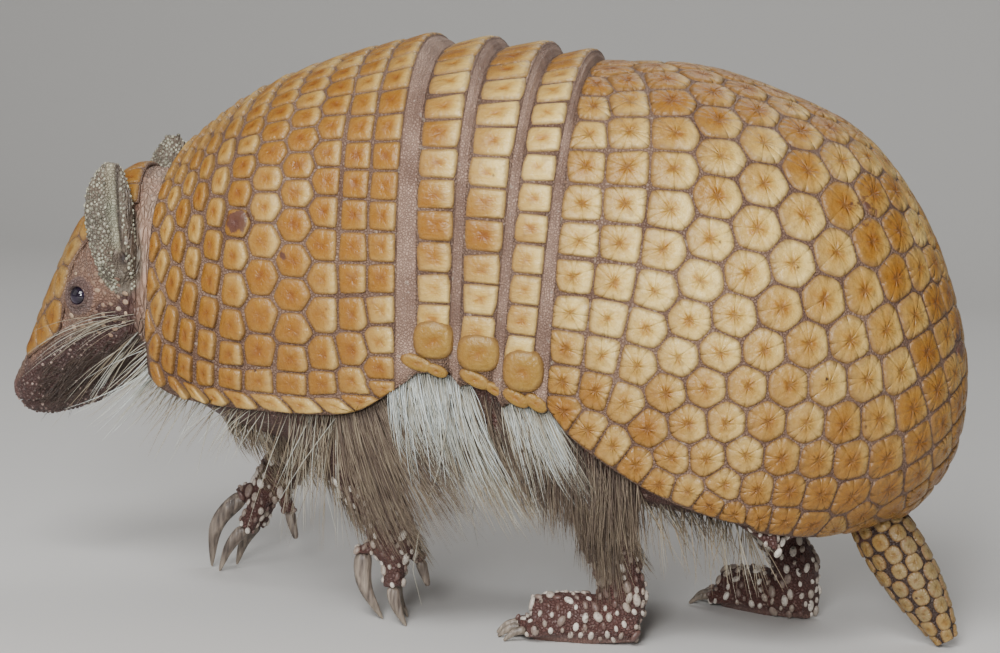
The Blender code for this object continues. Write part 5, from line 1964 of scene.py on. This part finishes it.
class Hairs:
    """The middle lines of many hairs on one side of the body, zone by zone."""

    def __init__(self, seed, sign):
        self.rng = np.random.default_rng(seed)
        self.sign = sign
        self.lines, self.girths, self.tones = [], [], []

    def grow(self, count, roots, spread, lies, length, bend, stray, girth, tone, gather=0.5):
        """Hairs rooted along a line of places, lying along directions that change along it."""
        rng = self.rng
        knots = np.linspace(0, 1, len(roots))
        lies = np.atleast_2d(np.asarray(lies, float))
        lie_knots = np.linspace(0, 1, len(lies))
        share = rng.uniform(0, 1, count)
        base = between(share, knots, roots)
        base += rng.uniform(-1, 1, (count, 3)) * spread
        base[:, 1] *= self.sign
        way = between(share, lie_knots, lies)
        way /= norm(way, axis=1)[:, None]
        way += rng.normal(0, stray, (count, 3))
        way /= norm(way, axis=1)[:, None]
        way[:, 1] *= self.sign
        reach = rng.uniform(*length, count) * (0.75 + 0.25 * np.sqrt(rng.uniform(0, 1, count)))
        bent = np.asarray(bend, float) * (1, self.sign, 1)
        for k in range(count):
            place, normal, _, _ = SKIN_TREE.find_nearest(Vector(base[k]))
            base[k] = np.array(place) - 0.4 * np.array(normal)
        t = np.linspace(0, 1, HAIR_JOINTS)
        sway = rng.normal(0, 0.035, (count, 3))
        lines = base[:, None] + (way[:, None] * t[:, None]
                                 + (bent + sway[:, None]) * (t**2)[:, None]) * reach[:, None, None]
        locks = max(count // 14, 1)
        heads = rng.choice(count, locks, replace=False)
        nearest = norm(base[:, None] - base[heads][None], axis=2).argmin(axis=1)
        lead = lines[heads][nearest]
        pull = gather * (t**1.5)[:, None]
        lines = lines * (1 - pull) + (lead + (base - lead[:, 0])[:, None] * 0.35) * pull
        self.lines.append(lines)
        self.girths.append(rng.uniform(*girth, count))
        self.tones.append(np.clip(rng.uniform(*tone, count), 0, 1))

    def single(self, line, girth, tone):
        """One long hair along given places."""
        path = smooth_path(np.asarray(line, float), np.linspace(0, 1, HAIR_JOINTS))
        self.lines.append((path * (1, self.sign, 1))[None])
        self.girths.append(np.array([girth]))
        self.tones.append(np.array([tone]))


def hair_piece(name, groups, replaced):
    """All the hairs of some groups as one piece, clear of the skin and the ground."""
    lines, girths, tones = (
        np.concatenate([rows for group in groups for rows in getattr(group, field)])
        for field in ("lines", "girths", "tones"))
    count = len(lines)
    points = lines.reshape(-1, 3)
    for k in range(len(points)):
        if k % HAIR_JOINTS == 0:
            continue
        place, normal, _, gap = SKIN_TREE.find_nearest(Vector(points[k]))
        depth = (Vector(points[k]) - place).dot(normal)
        if depth < 0.25 and gap < 9:
            points[k] = np.array(place) + 0.3 * np.array(normal)
    points[:, 2] = np.maximum(points[:, 2], 0.5)
    share = np.tile(np.linspace(0, 1, HAIR_JOINTS), count)
    taper = np.maximum((1 - share) ** 0.6, 0.12)
    edges = [(k, k + 1) for k in range(len(points) - 1) if (k + 1) % HAIR_JOINTS]
    mesh = bpy.data.meshes.new(name)
    mesh.from_pydata(placed(points).tolist(), edges, [])
    flats = np.repeat(flat_root(lines[:, 0]), HAIR_JOINTS, axis=0)
    write_values(mesh, "hair_girth", np.repeat(girths, HAIR_JOINTS) * taper * MM)
    write_values(mesh, "hair_share", share)
    write_values(mesh, "hair_tone", np.repeat(tones, HAIR_JOINTS))
    write_values(mesh, "hair_root", np.c_[flats, np.zeros(len(flats))], "FLOAT_VECTOR")
    coat = in_scene(name, mesh)
    mesh = grown(coat, HAIR_TREE, {"Girth": 1.0, "Finish": HAIR})
    root = column(mesh.attributes["hair_root"].data, "vector", 3)[:, :2]
    along = column(mesh.attributes["hair_share"].data, "value")
    side = np.arange(len(root)) % 3 / 2
    write_map(mesh, root + MAP_PATCH * np.stack([along - 0.5, side - 0.5], axis=1))
    mesh.shade_smooth()
    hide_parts(replaced)
    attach(coat, "root")


def hair_material():
    """Coarse hair from dark brown through straw to white, darker towards the root."""
    look = Look("hair_strands", (0.42, 0.38, 0.31), 0.5)
    uneven = look.flecks(160.0, 1500.0, 600.0, 0.06)
    toned = look.plus(look.carried("hair_tone"), look.span(uneven["Blotch"], 0.3, 0.7, -0.07, 0.07))
    colour = look.steps(toned, [(0.0, (0.026, 0.015, 0.011)), (0.3, (0.096, 0.064, 0.044)),
                                (0.6, (0.30, 0.24, 0.16)), (0.8, (0.44, 0.43, 0.35)),
                                (1.0, (0.60, 0.66, 0.66))])
    colour = look.blend(look.span(look.carried("hair_share"), 0.0, 0.35, 0.55, 0.0), colour,
                        (0.07, 0.05, 0.04))
    return look.dress(colour, look.span(uneven["Grain"], 0.3, 0.7, 0.4, 0.6))


HAIR = hair_material()

for side, sign in (("left", 1), ("right", -1)):
    hairs = Hairs(50 + sign, sign)
    # behind the front shield's lower corner, swept down and back over the foreleg
    hairs.grow(520, [(-34, -41, 55), (-19, -43, 60)], (1.5, 2, 3),
               [(0.25, -0.22, -1), (0.5, -0.2, -0.9)], (24, 40), (0.22, -0.05, -0.1), 0.1,
               (0.10, 0.2), (0.22, 0.5))
    # white tufts under the first and the third band
    hairs.grow(430, [(-20, -45, 68), (-12, -45, 67), (-2, -45, 66)], (1.5, 2, 2.5),
               [(0.02, -0.25, -1), (0.22, -0.2, -1)], (12, 34), (0.16, 0, -0.05), 0.12,
               (0.1, 0.2), (0.72, 1.0), gather=0.55)
    hairs.grow(250, [(7, -45, 64), (20, -45, 59)], (1.5, 2, 2.5),
               [(0.25, -0.2, -1), (0.5, -0.15, -0.9)], (10, 27), (0.12, 0, -0.1), 0.13,
               (0.1, 0.19), (0.62, 0.98), gather=0.5)
    hairs.grow(260, [(-18, -44, 62), (18, -44, 56)], (3, 2, 5), [(0.25, -0.15, -1)],
               (10, 24), (0.15, 0, 0), 0.16, (0.09, 0.16), (0.12, 0.5), gather=0.3)
    hairs.grow(230, [(-12, -41, 56), (12, -40, 50)], (2, 2, 4), [(0.25, -0.15, -1)],
               (20, 32), (0.2, 0, 0), 0.12, (0.1, 0.2), (0.4, 0.85))
    # brown hair over the thigh
    for row, (lift, reach) in enumerate(((0, 0), (-9, -2), (-18, -4))):
        hairs.grow(420, [(10 + 4 * row, -41, 56 + lift), (42, -41, 47 + lift)], (2, 2, 5),
                   [(0.1, -0.2, -1)], (12 + reach, 24 + reach), (0.05, 0, -0.1), 0.13,
                   (0.1, 0.18), (0.16, 0.5), gather=0.35)
    # stiff bristles under the rear shield
    hairs.grow(80, [(44, -37, 38), (58, -33, 34), (72, -28, 31)], (3, 4, 2),
               [(0.2, -0.25, -1)], (12, 22), (0.05, 0, -0.1), 0.34, (0.12, 0.2), (0.4, 0.72),
               gather=0.1)
    # long pale hairs ahead of the foreleg and on the shield's front corner
    hairs.grow(80, [(-46, -38, 54), (-33, -40, 55)], (2, 3, 2), [(-0.1, -0.2, -1)], (18, 38),
               (0.02, 0, 0), 0.17, (0.1, 0.17), (0.4, 0.85), gather=0.1)
    hairs.grow(70, [(-84, -33, 60), (-68, -37, 55), (-50, -38, 54)], (2, 2, 1.5),
               [(-0.55, -0.15, -0.8)], (8, 19), (0.0, 0, -0.15), 0.26, (0.1, 0.16), (0.45, 0.85),
               gather=0.05)
    # belly, forelegs and haunches
    hairs.grow(700, [(-76, -20, 34), (-20, -26, 28), (60, -22, 28)], (5, 12, 2),
               [(0.4, -0.1, -0.8)], (7, 14), (0.1, 0, 0), 0.2, (0.09, 0.15), (0.25, 0.65))
    hairs.grow(260, [(-36, -28, 46), (-26, -28, 28)], (6, 6, 5), [(0.3, -0.2, -1)], (5, 11),
               (0.05, 0, 0), 0.2, (0.09, 0.15), (0.2, 0.5))
    hairs.grow(160, [(-62, -27, 46), (-60, -25, 30)], (7, 6, 5), [(0.2, -0.2, -1)], (5, 10),
               (0.05, 0, 0), 0.2, (0.09, 0.15), (0.3, 0.7))
    hairs.single([(-4.6, -44, 62), (-5.5, -46, 47), (-10.5, -45, 27), (-12, -43, 17),
                  (-9.5, -42, 8)], 0.26, 0.78)
    hair_piece(f"side_hair_{side}", [hairs], f"coat_fringe_{side}")

both = []
for sign in (1, -1):
    hairs = Hairs(80 + sign, sign)
    # bristles that cross the cheek from below the ear, over dark hair
    hairs.grow(22, [(-90, -22, 71), (-97, -19, 71.5), (-103, -17, 69)], (2, 2, 1.5),
               [(-0.97, -0.22, 0.0), (-0.95, -0.25, -0.35)], (15, 27), (0.05, 0, -0.34), 0.14,
               (0.09, 0.14), (0.5, 0.8), gather=0.0)
    hairs.grow(27, [(-89, -22, 68), (-92, -20, 62)], (2, 2, 3),
               [(-0.9, -0.2, -0.5), (-0.7, -0.2, -0.75)], (14, 27), (0, 0, -0.25), 0.16,
               (0.11, 0.17), (0.55, 0.9), gather=0.03)
    hairs.grow(700, [(-90, -17, 62), (-104, -13, 58), (-118, -8, 52)], (4, 5, 6),
               [(-0.8, -0.3, -0.5)], (3, 7), (0, 0, -0.3), 0.25, (0.09, 0.14), (0.0, 0.22),
               gather=0.3)
    # white bundle at the neck and thinner bristles on the throat
    hairs.grow(48, [(-88, -25, 71), (-85, -26, 63)], (1, 1.5, 1.5), [(-0.4, -0.25, -0.9)],
               (14, 29), (-0.26, 0, 0), 0.2, (0.14, 0.21), (0.7, 0.95), gather=0.0)
    hairs.grow(30, [(-86, -24, 61), (-82, -10, 58)], (2, 3, 3), [(-0.35, -0.1, -0.9)],
               (9, 20), (-0.15, 0, 0), 0.26, (0.15, 0.21), (0.5, 0.9), gather=0.04)
    hairs.grow(60, [(-84, -20, 100), (-84, -4, 112)], (2, 4, 2), [(0.2, -0.2, 0.9)], (3, 6),
               (0.1, 0, 0), 0.25, (0.07, 0.1), (0.4, 0.7), gather=0.1)
    both.append(hairs)
hair_piece("throat_hair", both, "throat_bristles")
